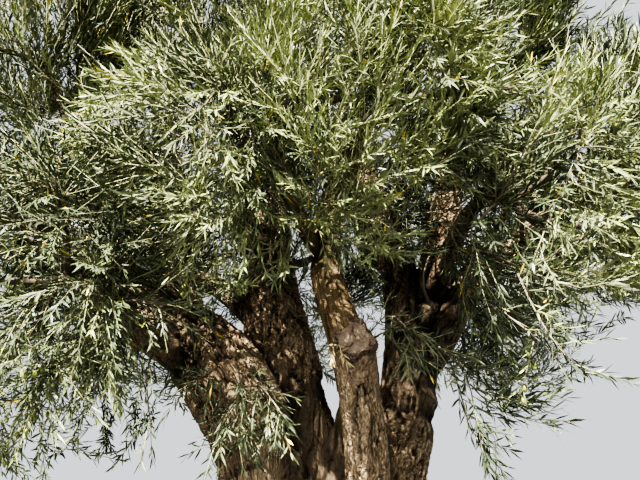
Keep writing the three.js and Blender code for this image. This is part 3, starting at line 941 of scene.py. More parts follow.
growth = {
    "seed": 100,
    "twigs": 9,
    "shells": (0.5, 0.72, 0.86),
    "twigDrop": 0.30,               # how far below a mass's middle its twigs may end
    "twigRoot": 0.017,
    "twigTaper": 0.2,
    "branchletsPerCube": 92,        # ends in a cubic metre
    "branchletRoot": 0.0065,
    "branchletTaper": 0.4,
    "shootsPerBranchlet": 9,
    "shootLength": (0.13, 0.30),
    "shootRoot": 0.0022,
    "firstShoot": 0.22,             # share along a branchlet
    "rise": 0.42,                   # how far shoots rise where a mass gives no hang
    "leafGap": 0.020,               # between two pairs of leaves
    "leafLength": 0.062,
    "leafWidth": 0.0084,
    "lean": (0.80, 0.42, 0.13),     # of a leaf off its shoot, how much less at the tip, and chance
    "silverShare": 0.42,            # of the undersides that show
    "yellowShare": 0.006,
    "looseness": 1.1,               # how far past the mass's reach a leaf may stand
    "overlap": 0.07,                # how far a shoot may cross into the next mass
    "limbGap": 0.016,
    "boxSlack": 0.028,              # how far leaves may leave the solids' box, as a share of its sides
    "leafyFrom": 0.72,              # share along a limb from which it bears shoots
    "stemReach": 0.9,               # of the way to a mass's middle
    "stemThick": 0.85,              # of its limb's tip
    "turnCost": (1.6, 0.6),         # how much a joint that turns a twig back is passed over
    "shortest": 0.04,               # twig that is worth growing
    "aim": {"on": 0.9, "around": 0.95, "out": 0.35, "chance": 0.16, "sweep": 1.5, "hang": 0.8},
    "bend": {"chance": 0.10, "hang": 0.9, "droop": 0.05},
    "face": {"on": 0.6, "out": 0.5, "up": 0.85, "chance": 0.42},    # which way a leaf looks
    "sizeChance": 0.13,
    "curl": (0.07, 0.07),           # of a leaf along its length, and chance
}

# The deep and shady greens are dealt out partly as painted shade inside the crown
leafTints = {
    "freshLeaf": ((0.258, 0.300, 0.124, 1), 0.44),
    "leaf": ((0.140, 0.168, 0.084, 1), 0.44),
    "deepLeaf": ((0.034, 0.047, 0.022, 1), 0.50),
    "silverLeaf": ((0.262, 0.292, 0.180, 1), 0.65),
    "yellowLeaf": ((0.600, 0.440, 0.060, 1), 0.50),
    "strawLeaf": ((0.560, 0.450, 0.230, 1), 0.70),
    "shadyLeaf": ((0.082, 0.104, 0.050, 1), 0.48),
}
crown = {"middle": (0.0, 0.15, 3.1), "reach": (2.2, 1.35, 1.6), "core": (0.0, 0.1, 2.5)}
twigTints = {
    "oldTwig": ((0.095, 0.073, 0.053, 1), 0.9),
    "greyTwig": ((0.185, 0.155, 0.110, 1), 0.8),
    "youngTwig": ((0.330, 0.330, 0.180, 1), 0.7),
}
tintNumber = {name: place for place, name in enumerate(leafTints)}
leafPaints = [Paint(name, rough, tint, 0.3).material for name, (tint, rough) in leafTints.items()]
twigPaints = [Paint(name, rough, tint, 0.3).material for name, (tint, rough) in twigTints.items()]
goldenTurn = math.pi * (3 - math.sqrt(5))


def seeded(seed):
    state = [seed]

    def draw():
        state[0] = (state[0] + 0x6D2B79F5) & 0xFFFFFFFF
        mixed = ((state[0] ^ (state[0] >> 15)) * (1 | state[0])) & 0xFFFFFFFF
        mixed = ((mixed + ((mixed ^ (mixed >> 7)) * (61 | mixed))) ^ mixed) & 0xFFFFFFFF
        return (mixed ^ (mixed >> 14)) / 4294967296

    return draw


def unit(vectors):
    return vectors / np.maximum(np.linalg.norm(vectors, axis=-1, keepdims=True), 1e-9)


def limbStretches(steps=14):
    starts, ends, radii = [(0, 0, 0)], [(0, 0, bark["height"])], [bark["halfWidth"] * 1.1]
    for limb in limbs.values():
        guides = guidesOf(limb)
        points = [curvePoint(guides, i / steps) for i in range(steps + 1)]
        starts += points[:-1]
        ends += points[1:]
        radii += [limbRadius(limb, i / steps) * 1.1 for i in range(steps)]
    return np.array(starts, float), np.array(ends, float), np.array(radii)


stretches = limbStretches()
# Where the crown's edge is open in the photograph: middle and half size
openings = [
    ((1.08, -0.60, 1.80), (0.44, 1.00, 0.40)),
]


def insideBox(points):
    low, high = np.array(cadBox)
    slack = growth["boxSlack"] * (high - low)
    return np.all((points > low - slack) & (points < high + slack), axis=-1)


def clearOfOpenings(points):
    outside = [np.sum(((points - middle) / reach) ** 2, axis=-1) > 1 for middle, reach in openings]
    return np.all(outside, axis=0)


def clearOfLimbs(points, reach):
    starts, ends, radii = stretches
    ways = ends - starts
    shares = np.einsum("pij,ij->pi", points[:, None] - starts, ways) / np.einsum("ij,ij->i", ways, ways)
    nearest = starts + np.clip(shares, 0, 1)[:, :, None] * ways
    off = np.linalg.norm(points[:, None] - nearest, axis=2)
    return np.all(off > radii + reach + growth["limbGap"], axis=1)


# Neighbouring masses are parted by flat planes, so that each keeps to its own space
def inSpace(mass, points, looseness, overlap):
    if mass.get("free"):    # a spray on its own
        return np.ones(points.shape[:-1], bool)
    middle = np.array(mass["middle"])
    out = np.linalg.norm((points - middle) / np.array(mass["reach"]), axis=-1)
    inside = out <= looseness
    own = np.sum((points - middle) ** 2, axis=-1) - np.mean(mass["reach"]) ** 2
    for other in masses.values():
        if other is mass:
            continue
        theirs = np.array(other["middle"])
        apart = np.linalg.norm(middle - theirs)
        pull = np.sum((points - theirs) ** 2, axis=-1) - np.mean(other["reach"]) ** 2
        inside &= own - 2 * apart * overlap < pull
    return inside


def stemOf(mass):
    limb = limbs[mass["limb"]]
    guides = guidesOf(limb)
    heading = curveHeading(guides, 1)
    start = guides[3]
    end = start + (np.array(mass["middle"]) - start) * growth["stemReach"]
    lead = np.linalg.norm(end - start) / 3
    draw = end + (0, 0, -lead / 3)
    draw = draw + (start - draw) * 0.3
    return {"guides": [start, start + heading * lead, draw, end],
            "thick": limb["thin"] * growth["stemThick"], "thin": growth["twigRoot"]}


def spiralEnds(mass, count, random, shells):
    ends = []
    for i in range(count):
        climb = 1 - 2 * (i + 0.5) / count
        turn = goldenTurn * i + 0.5 * random()
        level = math.sqrt(1 - climb ** 2)
        shell = shells(i) - 0.04 * random()
        out = np.array((level * math.cos(turn), level * math.sin(turn), climb))
        ends.append(out * mass["reach"] * shell + mass["middle"])
    return ends


def bentPath(start, lead, end, count, lift):
    length = np.linalg.norm(end - start)
    way = unit(end - start)
    bend = start + unit(lead * 0.6 + way) * length * 0.34
    draw = end - unit(way + np.array((0, 0, lift))) * length * 0.30
    return np.array([curvePoint([start, bend, draw, end], share) for share in np.linspace(0, 1, count)])


# Every twig leaves the nearest joint that does not turn it back too sharply
def growOn(mass, ends, joints, base, root, taper, overlap, lift, steps):
    grown = []
    points = [joint[0] for joint in joints]
    headings = [joint[1] for joint in joints]
    thicks = [joint[2] for joint in joints]
    most, less = growth["turnCost"]
    for end in sorted(ends, key=lambda spot: np.linalg.norm(spot - base)):
        ways = end - np.array(points)
        lengths = np.linalg.norm(ways, axis=1)
        turns = np.einsum("ij,ij->i", ways / np.maximum(lengths, 1e-6)[:, None], np.array(headings))
        pick = int(np.argmin(lengths * (most - less * turns)))
        if lengths[pick] < growth["shortest"]:
            continue
        thick = min(root, thicks[pick] * 0.9)
        path = bentPath(points[pick], headings[pick], end, 9, lift)
        if not (inSpace(mass, path[1:], 1.04, overlap).all() and clearOfLimbs(path[2:], thick).all()):
            continue
        grown.append({"path": path, "thick": thick, "thin": thick * taper})
        for place in np.linspace(0, 8, steps + 1)[1:]:
            low = min(int(place), 7)
            points.append(path[low] + (path[low + 1] - path[low]) * (place - low))
            headings.append(unit(path[low + 1] - path[low]))
            thicks.append(thick * (1 - (1 - taper) * place / 8))
    return grown


# A mesh of round twigs, each through the points of its path
def tubeMesh(paths, radii, sides):
    paths = np.asarray(paths)
    count, length, _ = paths.shape
    headings = unit(np.gradient(paths, axis=1))
    guide = np.where(np.abs(headings[:, :1, 2:]) > 0.9, (1.0, 0.0, 0.0), (0.0, 0.0, 1.0))
    side = unit(np.cross(headings, guide))
    up = np.cross(side, headings)
    angles = np.arange(sides) * 2 * math.pi / sides
    ring = np.cos(angles)[:, None] * side[:, :, None] + np.sin(angles)[:, None] * up[:, :, None]
    rings = paths[:, :, None] + ring * np.asarray(radii)[:, :, None, None]
    points = rings.reshape(-1, 3)
    here = np.arange(count * length * sides).reshape(count, length, sides)
    after = np.roll(here, -1, axis=2)
    quads = np.stack([here[:, :-1], after[:, :-1], after[:, 1:], here[:, 1:]], axis=-1).reshape(-1, 4)
    caps = np.concatenate([here[:, 0, ::-1], here[:, -1]])
    return points, quads, caps


# Puts quads, triangles and such together in one mesh from arrays
def buildPiece(name, points, faceSets, paints):
    mesh = bpy.data.meshes.new(name)
    corners = np.concatenate([faces.ravel() for faces, _ in faceSets])
    sizes = np.concatenate([np.full(len(faces), faces.shape[1]) for faces, _ in faceSets])
    marks = np.concatenate([tints for _, tints in faceSets])
    mesh.vertices.add(len(points))
    mesh.vertices.foreach_set("co", np.asarray(points, np.float32).ravel())
    mesh.loops.add(len(corners))
    mesh.loops.foreach_set("vertex_index", corners.astype(np.int32))
    mesh.polygons.add(len(sizes))
    mesh.polygons.foreach_set("loop_start", np.concatenate([[0], np.cumsum(sizes)[:-1]]).astype(np.int32))
    mesh.polygons.foreach_set("material_index", marks.astype(np.int32))
    for paint in paints:
        mesh.materials.append(paint)
    mesh.update(calc_edges=True)
    piece = bpy.data.objects.new(name, mesh)
    bpy.context.collection.objects.link(piece)
    return piece


# Places and headings at fractional points of each path
def alongPaths(paths, spots):
    low = np.minimum(spots.astype(int), paths.shape[1] - 2)
    rest = (spots - low)[:, :, None]
    row = np.arange(len(paths))[:, None]
    starts, ends = paths[row, low], paths[row, low + 1]
    return starts * (1 - rest) + ends * rest, unit(ends - starts)


def makeShoots(mass, branchlets, rng):
    perBranchlet = growth["shootsPerBranchlet"]
    paths = np.array([branchlet["path"] for branchlet in branchlets])
    count = len(paths)
    places = np.linspace(growth["firstShoot"], 1.0, perBranchlet)
    places = places + rng.uniform(-0.03, 0.03, (count, perBranchlet))
    places[:, -1] = 1.0
    starts, headings = alongPaths(paths, np.clip(places, 0, 1) * 8)
    side = unit(np.cross(headings, (0.13, 0.07, 1.0)))
    over = np.cross(side, headings)
    angles = goldenTurn * np.arange(perBranchlet) + rng.uniform(0, 6.3, (count, 1))
    around = np.cos(angles)[:, :, None] * side + np.sin(angles)[:, :, None] * over
    spread = np.where(places >= 1, 0.1, 1.0)[:, :, None]
    outward = unit(starts - np.array(mass["middle"]) * 0.8 - np.array((0, 0, 2.4)) * 0.2)
    hang = mass.get("hang", -growth["rise"])
    aims = growth["aim"]
    aim = headings * aims["on"] + around * spread * aims["around"] + outward * aims["out"]
    aim = aim + rng.normal(0, aims["chance"], starts.shape)
    aim += np.array(mass.get("sweep", (0, 0, 0))) * aims["sweep"]
    aim[:, :, 2] -= hang * aims["hang"]
    aim = unit(aim).reshape(-1, 3)
    starts = starts.reshape(-1, 3)
    lengths = rng.uniform(*mass.get("shoot", growth["shootLength"]), len(starts))
    bends = growth["bend"]
    bend = rng.normal(0, bends["chance"], aim.shape)
    bend[:, 2] -= hang * bends["hang"] + bends["droop"]
    steps = np.linspace(0, 1, 4)
    shoots = (starts[:, None] + aim[:, None] * lengths[:, None, None] * steps[:, None]
              + bend[:, None] * lengths[:, None, None] * (steps ** 2)[:, None])
    keep = inSpace(mass, shoots[:, 2], 1.02, growth["overlap"])
    keep &= clearOfLimbs(shoots[:, 1], 0.01) & clearOfLimbs(shoots[:, 3], 0.01)
    keep &= insideBox(shoots[:, 3])
    if not mass.get("free"):
        keep &= clearOfOpenings(shoots[:, 1]) & clearOfOpenings(shoots[:, 3])
    return shoots[keep], lengths[keep]


def leafSet(mass, shoots, lengths, rng):
    pairs = int(growth["shootLength"][1] / growth["leafGap"]) + 1
    ordinal = np.arange(pairs)
    widest, closing, chance = growth["lean"]
    looks = growth["face"]
    shares = 0.12 + ordinal * growth["leafGap"] / lengths[:, None]
    used = shares <= 1.0
    shares = np.clip(shares + rng.normal(0, 0.012, shares.shape), 0, 1)
    along = unit(shoots[:, 1] - shoots[:, 0])
    coil = unit(np.cross(along, (0.31, 0.17, 0.93)))
    over = np.cross(coil, along)
    roots, axes = alongPaths(shoots, shares * 3)
    base = rng.uniform(0, 6.3, (len(shoots), 1))
    rows = []
    for flip in (0, math.pi):
        angle = base + ordinal * (math.pi / 2) + flip + rng.normal(0, 0.35, shares.shape)
        radial = np.cos(angle)[:, :, None] * coil[:, None] + np.sin(angle)[:, :, None] * over[:, None]
        lean = (widest - closing * shares + rng.normal(0, chance, shares.shape))[:, :, None]
        heading = unit(axes * np.cos(lean) + radial * np.sin(lean))
        face = axes * looks["on"] - radial * looks["out"] + np.array((0, 0, looks["up"]))
        face = face + rng.normal(0, looks["chance"], heading.shape)
        size = growth["leafLength"] * mass.get("leaf", 1.0)
        size = size * rng.normal(1, growth["sizeChance"], shares.shape)
        size = size * (0.72 + 0.36 * np.sin(shares * 2.4))    # smaller at the shoot's foot and tip
        rows.append((roots[used], heading[used], face[used], size[used], np.nonzero(used)[0]))
    roots, headings, faces, sizes, owners = [np.concatenate(parts) for parts in zip(*rows)]
    across = unit(np.cross(headings, faces))
    normals = np.cross(across, headings)
    tips = roots + headings * sizes[:, None]
    keep = inSpace(mass, tips, growth["looseness"], growth["overlap"] + 0.05) & insideBox(tips)
    return roots[keep], headings[keep], across[keep], normals[keep], sizes[keep], owners[keep]


# A leaf's five corners: shares along it and of its half width
leafOutline = ((0.0, 0.0), (0.44, 1.0), (1.0, 0.0), (0.68, -0.84), (0.24, -0.80))


def leafPiece(name, mass, leaves, sprayTints, rng):
    roots, headings, across, normals, sizes, owners = leaves
    count = len(roots)
    curl = (rng.normal(*growth["curl"], count) * sizes)[:, None]
    half = growth["leafWidth"] / 2 * (sizes / growth["leafLength"]) ** 0.6
    half = (half * rng.normal(1, 0.1, count))[:, None]
    corners = []
    for along, wide in leafOutline:
        spine = roots + headings * (sizes * along)[:, None] - normals * curl * along ** 2
        corners.append(spine + across * half * wide)
    points = np.stack(corners, axis=1).reshape(-1, 3)
    first = (np.arange(count) * len(leafOutline))[:, None]
    stalkEnds = first + (0, 1, 4)
    tips = first + (1, 2, 3, 4)
    outward = unit(roots - np.array(crown["core"]))
    under = np.einsum("ij,ij->i", normals, outward) < -0.12
    tints = sprayTints[owners].copy()
    chance = rng.uniform(0, 1, count)
    silver = mass.get("silver", growth["silverShare"])
    tints[under & (tints < tintNumber["deepLeaf"]) & (chance < silver)] = tintNumber["silverLeaf"]
    tints[chance > 1 - growth["yellowShare"]] = tintNumber["yellowLeaf"]
    return buildPiece(name, points, [(stalkEnds, tints), (tips, tints)], leafPaints)


# Paths, radii, sides and tint of what bears the leaves
def shootLevels(branchlets, shoots):
    ends = [np.linspace(branchlet["thick"], branchlet["thin"], 5) for branchlet in branchlets]
    return [
        (np.array([branchlet["path"][::2] for branchlet in branchlets]), np.array(ends), 4, 1),
        (shoots[:, (0, 1, 3)], np.full((len(shoots), 3), growth["shootRoot"]) * (1.0, 0.8, 0.4), 3, 2),
    ]


def stemLevels(mass, stem, twigs):
    shares = np.linspace(0, 1, 9)
    stemPath = np.array([curvePoint(stem["guides"], share) for share in shares])
    stemPath[0] -= curveHeading(stem["guides"], 0) * 0.03
    limb = limbs[mass["limb"]]
    stemRadii = growth["twigRoot"] + (limb["thin"] * 0.97 - growth["twigRoot"]) * (1 - shares)
    return [
        (np.array([stemPath]), np.array([stemRadii]), 9, 0),
        (np.array([twig["path"] for twig in twigs]),
         np.array([np.linspace(twig["thick"], twig["thin"], 9) for twig in twigs]), 6, 0),
    ]


def twigPiece(name, levels):
    allPoints, faceSets, start = [], [], 0
    for paths, radii, sides, tint in levels:
        if not len(paths):
            continue
        points, quads, caps = tubeMesh(paths, radii, sides)
        allPoints.append(points)
        faceSets.append((quads + start, np.full(len(quads), tint)))
        faceSets.append((caps + start, np.full(len(caps), tint)))
        start += len(points)
    return buildPiece(name, np.concatenate(allPoints), faceSets, twigPaints)


tinting = {
    "skinAt": 0.72,         # share of the crown's reach
    "skinWeight": 1.5,
    "clumpScale": 2.6,
    "clumpWeight": 0.9,
    "chance": 0.28,
    "freshFrom": 0.22,
    "shadyBelow": 0.0,
    "deepBelow": -0.32,
}


# Shoots near the crown's skin are fresh, those inside are deep green, partly as painted shade, and both
# come in clumps. A mass's shade above 0 deals out darker greens as painted shade, below 0 lighter ones as
# painted light.
def dealTints(mass, shoots, rng):
    spots = shoots[:, 1]
    skin = np.linalg.norm((spots - crown["middle"]) / crown["reach"], axis=1)
    clump = np.array([noise.noise(Vector(spot) * tinting["clumpScale"]) for spot in spots])
    score = tinting["skinWeight"] * (skin - tinting["skinAt"]) + tinting["clumpWeight"] * clump
    # painted shade: a mass's shade pushes its shoots towards darker greens
    score = score + rng.normal(0, tinting["chance"], len(spots)) - mass.get("shade", 0)
    tints = np.full(len(spots), tintNumber["leaf"])
    tints[score > tinting["freshFrom"]] = tintNumber["freshLeaf"]
    tints[score < tinting["shadyBelow"]] = tintNumber["shadyLeaf"]
    tints[score < tinting["deepBelow"]] = tintNumber["deepLeaf"]
    return tints


def fitFoliage(pieces, *nodes):
    for piece in pieces:
        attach(piece, "root")
        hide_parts(*nodes)


# The outer half of each twig and the end of the limb itself, which bear shoots as branchlets do
def leafyEnds(mass, twigs):
    guides = guidesOf(limbs[mass["limb"]])
    limbEnd = np.array([curvePoint(guides, share) for share in np.linspace(growth["leafyFrom"], 1.0, 9)])
    halves = [np.array([curvePoint(twig["path"][[3, 5, 7, 8]], share) for share in np.linspace(0, 1, 9)])
              for twig in twigs]
    return [{"path": path} for path in halves + [limbEnd]]


def makeMass(name, mass, index):
    rng = np.random.default_rng(growth["seed"] + index)
    random = seeded(growth["seed"] + index)
    stem = stemOf(mass)
    guides = stem["guides"]
    joints = [(curvePoint(guides, share), curveHeading(guides, share), limbRadius(stem, share))
              for share in (0.45, 0.6, 0.75, 0.9, 1)]
    shells = growth["shells"]
    ends = spiralEnds(mass, growth["twigs"], random, lambda i: shells[i % len(shells)])
    ends = [end for end in ends if end[2] > mass["middle"][2] - growth["twigDrop"] * mass["reach"][2]]
    twigs = growOn(mass, ends, joints, guides[0], growth["twigRoot"], growth["twigTaper"], 0.0, 0.12, 8)
    for twig in twigs:
        for place in range(2, 9):
            way = unit(twig["path"][place] - twig["path"][place - 1])
            joints.append((twig["path"][place], way, growth["branchletRoot"] * 1.15))
    volume = 4.19 * np.prod(mass["reach"])
    count = int(growth["branchletsPerCube"] * volume * mass.get("density", 1.0))
    ends = spiralEnds(mass, count, random, lambda i: (0.06 + 0.94 * ((i * 0.618034) % 1)) ** (1 / 3))
    ends = [end for end in ends if inSpace(mass, end[None], 1.0, 0.03)[0]]
    lift = 0.15 - mass.get("hang", 0)
    branchlets = growOn(mass, ends, joints, guides[0], growth["branchletRoot"], growth["branchletTaper"],
                        0.05, lift, 3)
    shoots, lengths = makeShoots(mass, branchlets + leafyEnds(mass, twigs), rng)
    sprayTints = dealTints(mass, shoots, rng)
    leaves = leafSet(mass, shoots, lengths, rng)
    leafy = leafPiece(name.replace("foliage_", "leaves_"), mass, leaves, sprayTints, rng)
    levels = stemLevels(mass, stem, twigs) + shootLevels(branchlets, shoots)
    woody = twigPiece(name.replace("foliage_", "twigs_"), levels)
    fitFoliage((leafy, woody), name)
    low = shoots[np.argsort(shoots[:, 3, 2])[:mass.get("olives", 0) * 8:8]]
    return (len(twigs), len(branchlets), len(shoots), len(leaves[0])), low


# Shoots that stand or hang on their own in front of the limbs. Each course has a foot, two guides and
# a tip, fresh is its share of fresh leaves, and a bare one has no leaves.
sprays = {
    "archedShoot": {"thick": 0.0042, "hang": 0.25, "course": [
        (-0.386, -0.22, 1.738), (-0.435, -0.4, 1.905), (-0.256, -0.46, 2.122), (-0.109, -0.45, 1.835)]},
    "leftOfArch": {"thick": 0.003, "hang": 0.25, "course": [
        (-0.292, -0.42, 2.038), (-0.262, -0.46, 1.94), (-0.27, -0.47, 1.846), (-0.282, -0.46, 1.782)]},
    "rightOfArch": {"thick": 0.0028, "hang": 0.25, "course": [
        (-0.182, -0.44, 1.985), (-0.15, -0.47, 1.912), (-0.155, -0.48, 1.861), (-0.161, -0.47, 1.813)]},
    "leftFall": {"thick": 0.0045, "hang": 0.6, "course": [
        (-0.546, -0.3, 2.317), (-0.596, -0.5, 2.148), (-0.583, -0.62, 1.986), (-0.525, -0.66, 1.825)]},
    "rightFork": {"thick": 0.005, "hang": -0.2, "sweep": (0.6, -0.1, 0.3), "fresh": 0.5, "course": [
        (0.523, -0.35, 2.549), (0.558, -0.7, 2.394), (0.593, -0.9, 2.212), (0.723, -1.0, 2.143)]},
    "rightForkDown": {"thick": 0.0036, "hang": 0.0, "sweep": (0.5, -0.1, 0.2), "fresh": 0.4, "course": [
        (0.595, -0.88, 2.225), (0.597, -0.95, 2.123), (0.605, -1.0, 1.983), (0.701, -1.0, 1.91)]},
    "rightForkUp": {"thick": 0.0036, "hang": -0.3, "sweep": (0.6, -0.1, 0.4), "fresh": 0.5, "course": [
        (0.6, -0.88, 2.219), (0.64, -0.95, 2.238), (0.683, -1.0, 2.256), (0.753, -1.05, 2.279)]},
    "rightInner": {"thick": 0.004, "hang": 0.1, "sweep": (0.5, -0.1, 0.1), "fresh": 0.15, "course": [
        (0.526, -0.4, 2.327), (0.509, -0.75, 2.209), (0.603, -0.9, 2.049), (0.639, -0.95, 1.974)]},
    "rightLow": {"thick": 0.0044, "hang": -0.1, "sweep": (0.5, -0.1, 0.2), "leaf": 0.9, "course": [
        (0.43, -0.05, 2.25), (0.487, -0.4, 2.07), (0.542, -0.52, 1.918), (0.681, -0.58, 1.89)]},
    "rightLowFork": {"thick": 0.003, "hang": -0.1, "sweep": (0.5, -0.1, 0.2), "leaf": 0.9, "course": [
        (0.517, -0.47, 1.966), (0.55, -0.52, 1.898), (0.587, -0.55, 1.853), (0.69, -0.58, 1.834)]},
    "rightHang": {"thick": 0.0036, "hang": 0.3, "sweep": (0.3, -0.1, 0), "leaf": 0.9, "course": [
        (0.49, -0.32, 2.057), (0.478, -0.5, 1.908), (0.492, -0.52, 1.809), (0.557, -0.5, 1.686)]},
    "rightLowUp": {
        "thick": 0.003, "hang": -0.1, "sweep": (0.5, -0.1, 0.2), "leaf": 0.95, "fresh": 0.1, "course": [
        (0.469, -0.34, 2.112), (0.487, -0.45, 2.06), (0.524, -0.52, 2.018), (0.582, -0.55, 1.993)]},
    "rightLowEnd": {
        "thick": 0.0028, "hang": -0.1, "sweep": (0.6, -0.1, 0.25), "leaf": 1.0, "fresh": 0.3, "course": [
        (0.524, -0.52, 1.944), (0.567, -0.55, 1.914), (0.612, -0.57, 1.892), (0.661, -0.6, 1.887)]},
    "rightLowDown": {"thick": 0.0028, "hang": 0.0, "sweep": (0.5, -0.1, 0.15), "leaf": 0.95, "course": [
        (0.508, -0.46, 1.995), (0.521, -0.52, 1.912), (0.502, -0.52, 1.847), (0.533, -0.5, 1.779)]},
    "upperLeftHigh": {
        "thick": 0.004, "hang": -0.3, "sweep": (-0.1, -0.1, 0.3), "leaf": 0.8, "fresh": 0.2, "course": [
        (-0.946, -0.45, 3.217), (-0.98, -0.6, 3.233), (-1.065, -0.66, 3.292), (-1.153, -0.68, 3.394)]},
    "upperLeftOut": {
        "thick": 0.004, "hang": -0.3, "sweep": (-0.1, -0.1, 0.3), "leaf": 0.8, "fresh": 0.2, "course": [
        (-0.928, -0.5, 3.046), (-0.996, -0.64, 3.044), (-1.079, -0.7, 3.119), (-1.175, -0.72, 3.214)]},
    "upperLeftLow": {
        "thick": 0.004, "hang": -0.3, "sweep": (-0.1, -0.1, 0.3), "leaf": 0.8, "fresh": 0.2, "course": [
        (-0.995, -0.5, 2.952), (-1.047, -0.64, 2.936), (-1.115, -0.7, 2.958), (-1.196, -0.72, 3.005)]},
    "overRightBough": {"thick": 0.0034, "hang": 0.1, "leaf": 0.6, "course": [
        (0.19, -0.34, 2.153), (0.265, -0.5, 2.192), (0.36, -0.55, 2.136), (0.416, -0.55, 2.013)]},
    "upByStub": {"thick": 0.003, "hang": 0.0, "leaf": 0.6, "course": [
        (0.19, -0.34, 2.183), (0.256, -0.45, 2.273), (0.297, -0.52, 2.179), (0.316, -0.53, 2.088)]},
    "overRightLimb": {
        "thick": 0.0044, "hang": -0.1, "sweep": (0.5, -0.1, 0.2), "leaf": 0.85, "fresh": 0.3, "course": [
        (0.605, -0.2, 2.693), (0.619, -0.6, 2.621), (0.717, -0.72, 2.586), (0.843, -0.75, 2.489)]},
    "underRightLimb": {"thick": 0.004, "hang": 0.0, "sweep": (0.5, -0.1, 0.1), "leaf": 0.85, "course": [
        (0.56, -0.15, 2.649), (0.599, -0.5, 2.553), (0.685, -0.62, 2.456), (0.788, -0.7, 2.452)]},
    "curvedTwig": {"thick": 0.0075, "bare": True, "course": [
        (0.466, -0.06, 2.371), (0.406, -0.2, 2.411), (0.42, -0.2, 2.511), (0.507, -0.12, 2.614)]},
    "archLeft": {"thick": 0.0032, "hang": 0.1, "leaf": 0.8, "course": [
        (-0.357, -0.34, 1.984), (-0.369, -0.46, 2.009), (-0.41, -0.52, 1.998), (-0.443, -0.52, 1.944)]},
    "archMiddle": {"thick": 0.003, "hang": 0.12, "course": [
        (-0.308, -0.42, 2.013), (-0.264, -0.5, 1.948), (-0.242, -0.52, 1.872), (-0.231, -0.5, 1.791)]},
    "archFar": {"thick": 0.0032, "hang": 0.1, "leaf": 0.8, "course": [
        (-0.291, -0.42, 2.016), (-0.21, -0.52, 1.978), (-0.152, -0.54, 1.915), (-0.125, -0.52, 1.834)]},
    "archLow": {"thick": 0.0028, "hang": 0.12, "course": [
        (-0.332, -0.4, 1.949), (-0.31, -0.48, 1.871), (-0.324, -0.5, 1.804), (-0.347, -0.5, 1.754)]},
    "stubRight": {"thick": 0.003, "hang": 0.15, "sweep": (0.3, -0.1, 0), "leaf": 0.7, "course": [
        (0.238, -0.3, 2.23), (0.267, -0.5, 2.163), (0.327, -0.56, 2.119), (0.405, -0.56, 2.071)]},
    "stubLow": {"thick": 0.0028, "hang": 0.2, "sweep": (0.3, -0.1, 0), "leaf": 0.7, "course": [
        (0.24, -0.34, 2.173), (0.264, -0.5, 2.092), (0.306, -0.54, 2.062), (0.371, -0.54, 2.021)]},
    "overCentreTip": {"thick": 0.004, "hang": -0.1, "sweep": (0.2, -0.1, 0.1), "fresh": 0.3, "course": [
        (0.085, -0.5, 2.747), (0.112, -0.72, 2.703), (0.149, -0.82, 2.717), (0.214, -0.86, 2.754)]},
    "rightOfTip": {"thick": 0.004, "hang": -0.1, "sweep": (0.2, -0.1, 0.1), "fresh": 0.3, "course": [
        (0.113, -0.55, 2.687), (0.17, -0.78, 2.654), (0.222, -0.88, 2.666), (0.289, -0.92, 2.687)]},
    "belowTip": {
        "thick": 0.004, "hang": -0.05, "sweep": (0.2, -0.1, 0.1), "leaf": 0.8, "fresh": 0.3, "course": [
        (0.122, -0.5, 2.653), (0.185, -0.8, 2.553), (0.247, -0.9, 2.545), (0.34, -0.95, 2.547)]},
    "betweenLimbs": {"thick": 0.006, "bare": True, "course": [
        (-0.148, 0.02, 2.401), (-0.116, -0.12, 2.294), (-0.08, -0.2, 2.272), (-0.008, -0.3, 2.261)]},
    "dryArch": {"thick": 0.0024, "bare": True, "course": [
        (0.06, -0.4, 2.106), (0.043, -0.48, 2.182), (0.089, -0.49, 2.216), (0.138, -0.49, 2.194)]},
}
dryShoots = {
    "leftDry": [(0.065, -0.40, 2.129), (0.035, -0.5, 2.115), (0.045, -0.51, 2.067), (0.040, -0.51, 2.040)],
    "rightDry": [(0.070, -0.40, 2.122), (0.059, -0.5, 2.112), (0.076, -0.52, 2.065), (0.089, -0.52, 2.032)],
}


# What a spray has where it says nothing else
spraySettings = {
    "free": True, "middle": (0, 0.3, 2.2), "leaf": 0.75, "shoot": (0.07, 0.14), "silver": 0.12,
}
sprayShares = {"taper": 0.45, "leaf": 0.35, "dryLeaf": 0.6, "dryThick": 0.002}


def sprayBranchlet(course, thick):
    path = np.array([curvePoint(np.array(course), share) for share in np.linspace(0, 1, 9)])
    return {"path": path, "thick": thick, "thin": thick * sprayShares["taper"]}


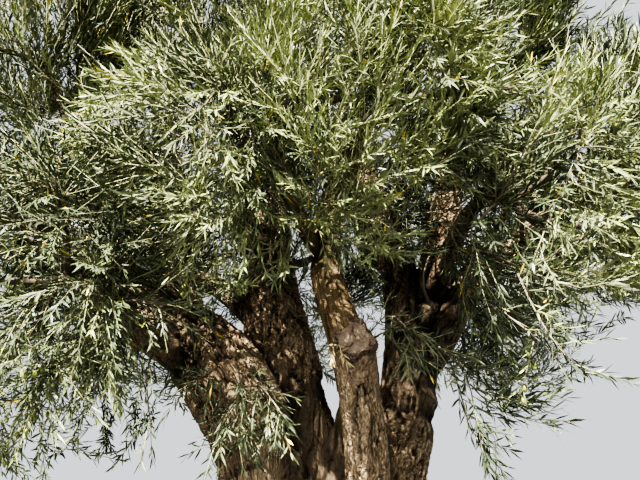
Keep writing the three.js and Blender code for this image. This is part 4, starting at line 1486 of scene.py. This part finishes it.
def makeSprays():
    rng = np.random.default_rng(growth["seed"] + 50)
    branchlets, shoots, leaves, tints = [], [], [], []
    for spray in sprays.values():
        branchlet = sprayBranchlet(spray["course"], spray["thick"])
        branchlets.append(branchlet)
        if not spray.get("bare"):
            space = {**spraySettings, **spray}
            grownShoots, grownLengths = makeShoots(space, [branchlet], rng)
            leaves.append(list(leafSet(space, grownShoots, grownLengths, rng)))
            leaves[-1][-1] += sum(map(len, shoots))
            shoots.append(grownShoots)
            fresh = spray.get("fresh", 0.0)
            deal = (fresh, sprayShares["leaf"], 1 - sprayShares["leaf"] - fresh)
            tints.append(rng.choice(3, len(grownShoots), p=deal))    # fresh, leaf or deep green; the deep green is partly painted shade
    shoots = np.concatenate(shoots)
    leaves = [np.concatenate(parts) for parts in zip(*leaves)]
    leafy = leafPiece("leaves_by_limbs", spraySettings, leaves, np.concatenate(tints), rng)
    woody = twigPiece("twigs_by_limbs", shootLevels(branchlets, shoots))
    fitFoliage((leafy, woody), "foliage_front_left", "foliage_right_front", "foliage_left_hanging")
    dry = [sprayBranchlet(course, sprayShares["dryThick"]) for course in dryShoots.values()]
    paths = np.array([branchlet["path"][[0, 3, 6, 8]] for branchlet in dry])
    reach = np.linalg.norm(paths[:, 3] - paths[:, 0], axis=1)
    leaves = leafSet({**spraySettings, "leaf": sprayShares["dryLeaf"]}, paths, reach * 1.5, rng)
    straw = np.full(len(dry), tintNumber["strawLeaf"])
    leafy = leafPiece("leaves_dry_by_stub", spraySettings, leaves, straw, rng)
    woody = twigPiece("twigs_dry_by_stub", shootLevels(dry, paths))
    fitFoliage((leafy, woody), "foliage_front_left")
    print("sprays by the limbs:", len(branchlets), "with", len(shoots), "shoots")


olives = {
    "length": 0.021,
    "width": 0.0145,
    "sides": 8,
    "rings": 6,
    "stalk": 0.012,
    "stalkRadius": 0.0009,
    "perShoot": 3,
    "tint": (0.210, 0.250, 0.045, 1),
}


# Green olives hang on short stalks under the lowest shoots
def makeOlives(shoots):
    rng = np.random.default_rng(growth["seed"] + 60)
    shares = np.tile(np.linspace(0.3, 0.8, olives["perShoot"]), (len(shoots), 1))
    shares = shares + rng.normal(0, 0.05, shares.shape)
    shares = shares[:, :, None]
    spots = (shoots[:, None, 0] * (1 - shares) + shoots[:, None, 3] * shares).reshape(-1, 3)
    spots += rng.normal(0, 0.006, spots.shape)
    ends = spots + np.array((0, 0, -olives["stalk"])) + rng.normal(0, 0.004, spots.shape)
    count = olives["rings"] + 1
    levels = np.linspace(0, math.pi, count)
    levels[0], levels[-1] = 0.12, math.pi - 0.12
    down = ends[:, None] - np.array((0, 0, 1.0)) * (olives["length"] / 2 * (1 - np.cos(levels)))[:, None]
    sizes = rng.normal(1, 0.1, (len(ends), 1))
    radii = olives["width"] / 2 * np.sin(levels) * sizes
    stalks = np.stack([spots, (spots + ends) / 2, ends - np.array((0, 0, 0.002))], axis=1)
    fruit = twigPiece("olives", [
        (down, radii, olives["sides"], 0),
        (stalks, np.full((len(ends), 3), olives["stalkRadius"]), 3, 1),
    ])
    fruit.data.materials.clear()
    fruit.data.materials.append(Paint("greenOlive", 0.34, olives["tint"], 0.5).material)
    fruit.data.materials.append(twigPaints[2])
    for polygon in fruit.data.polygons:
        polygon.use_smooth = True
    fitFoliage([fruit], "foliage_left_hanging")
    print("olives:", len(ends))


grown = [makeMass(name, mass, index) for index, (name, mass) in enumerate(masses.items())]
print("foliage grown: twigs, branchlets, shoots, leaves", np.sum([counts for counts, low in grown], axis=0))
makeSprays()
makeOlives(np.concatenate([low for counts, low in grown]))
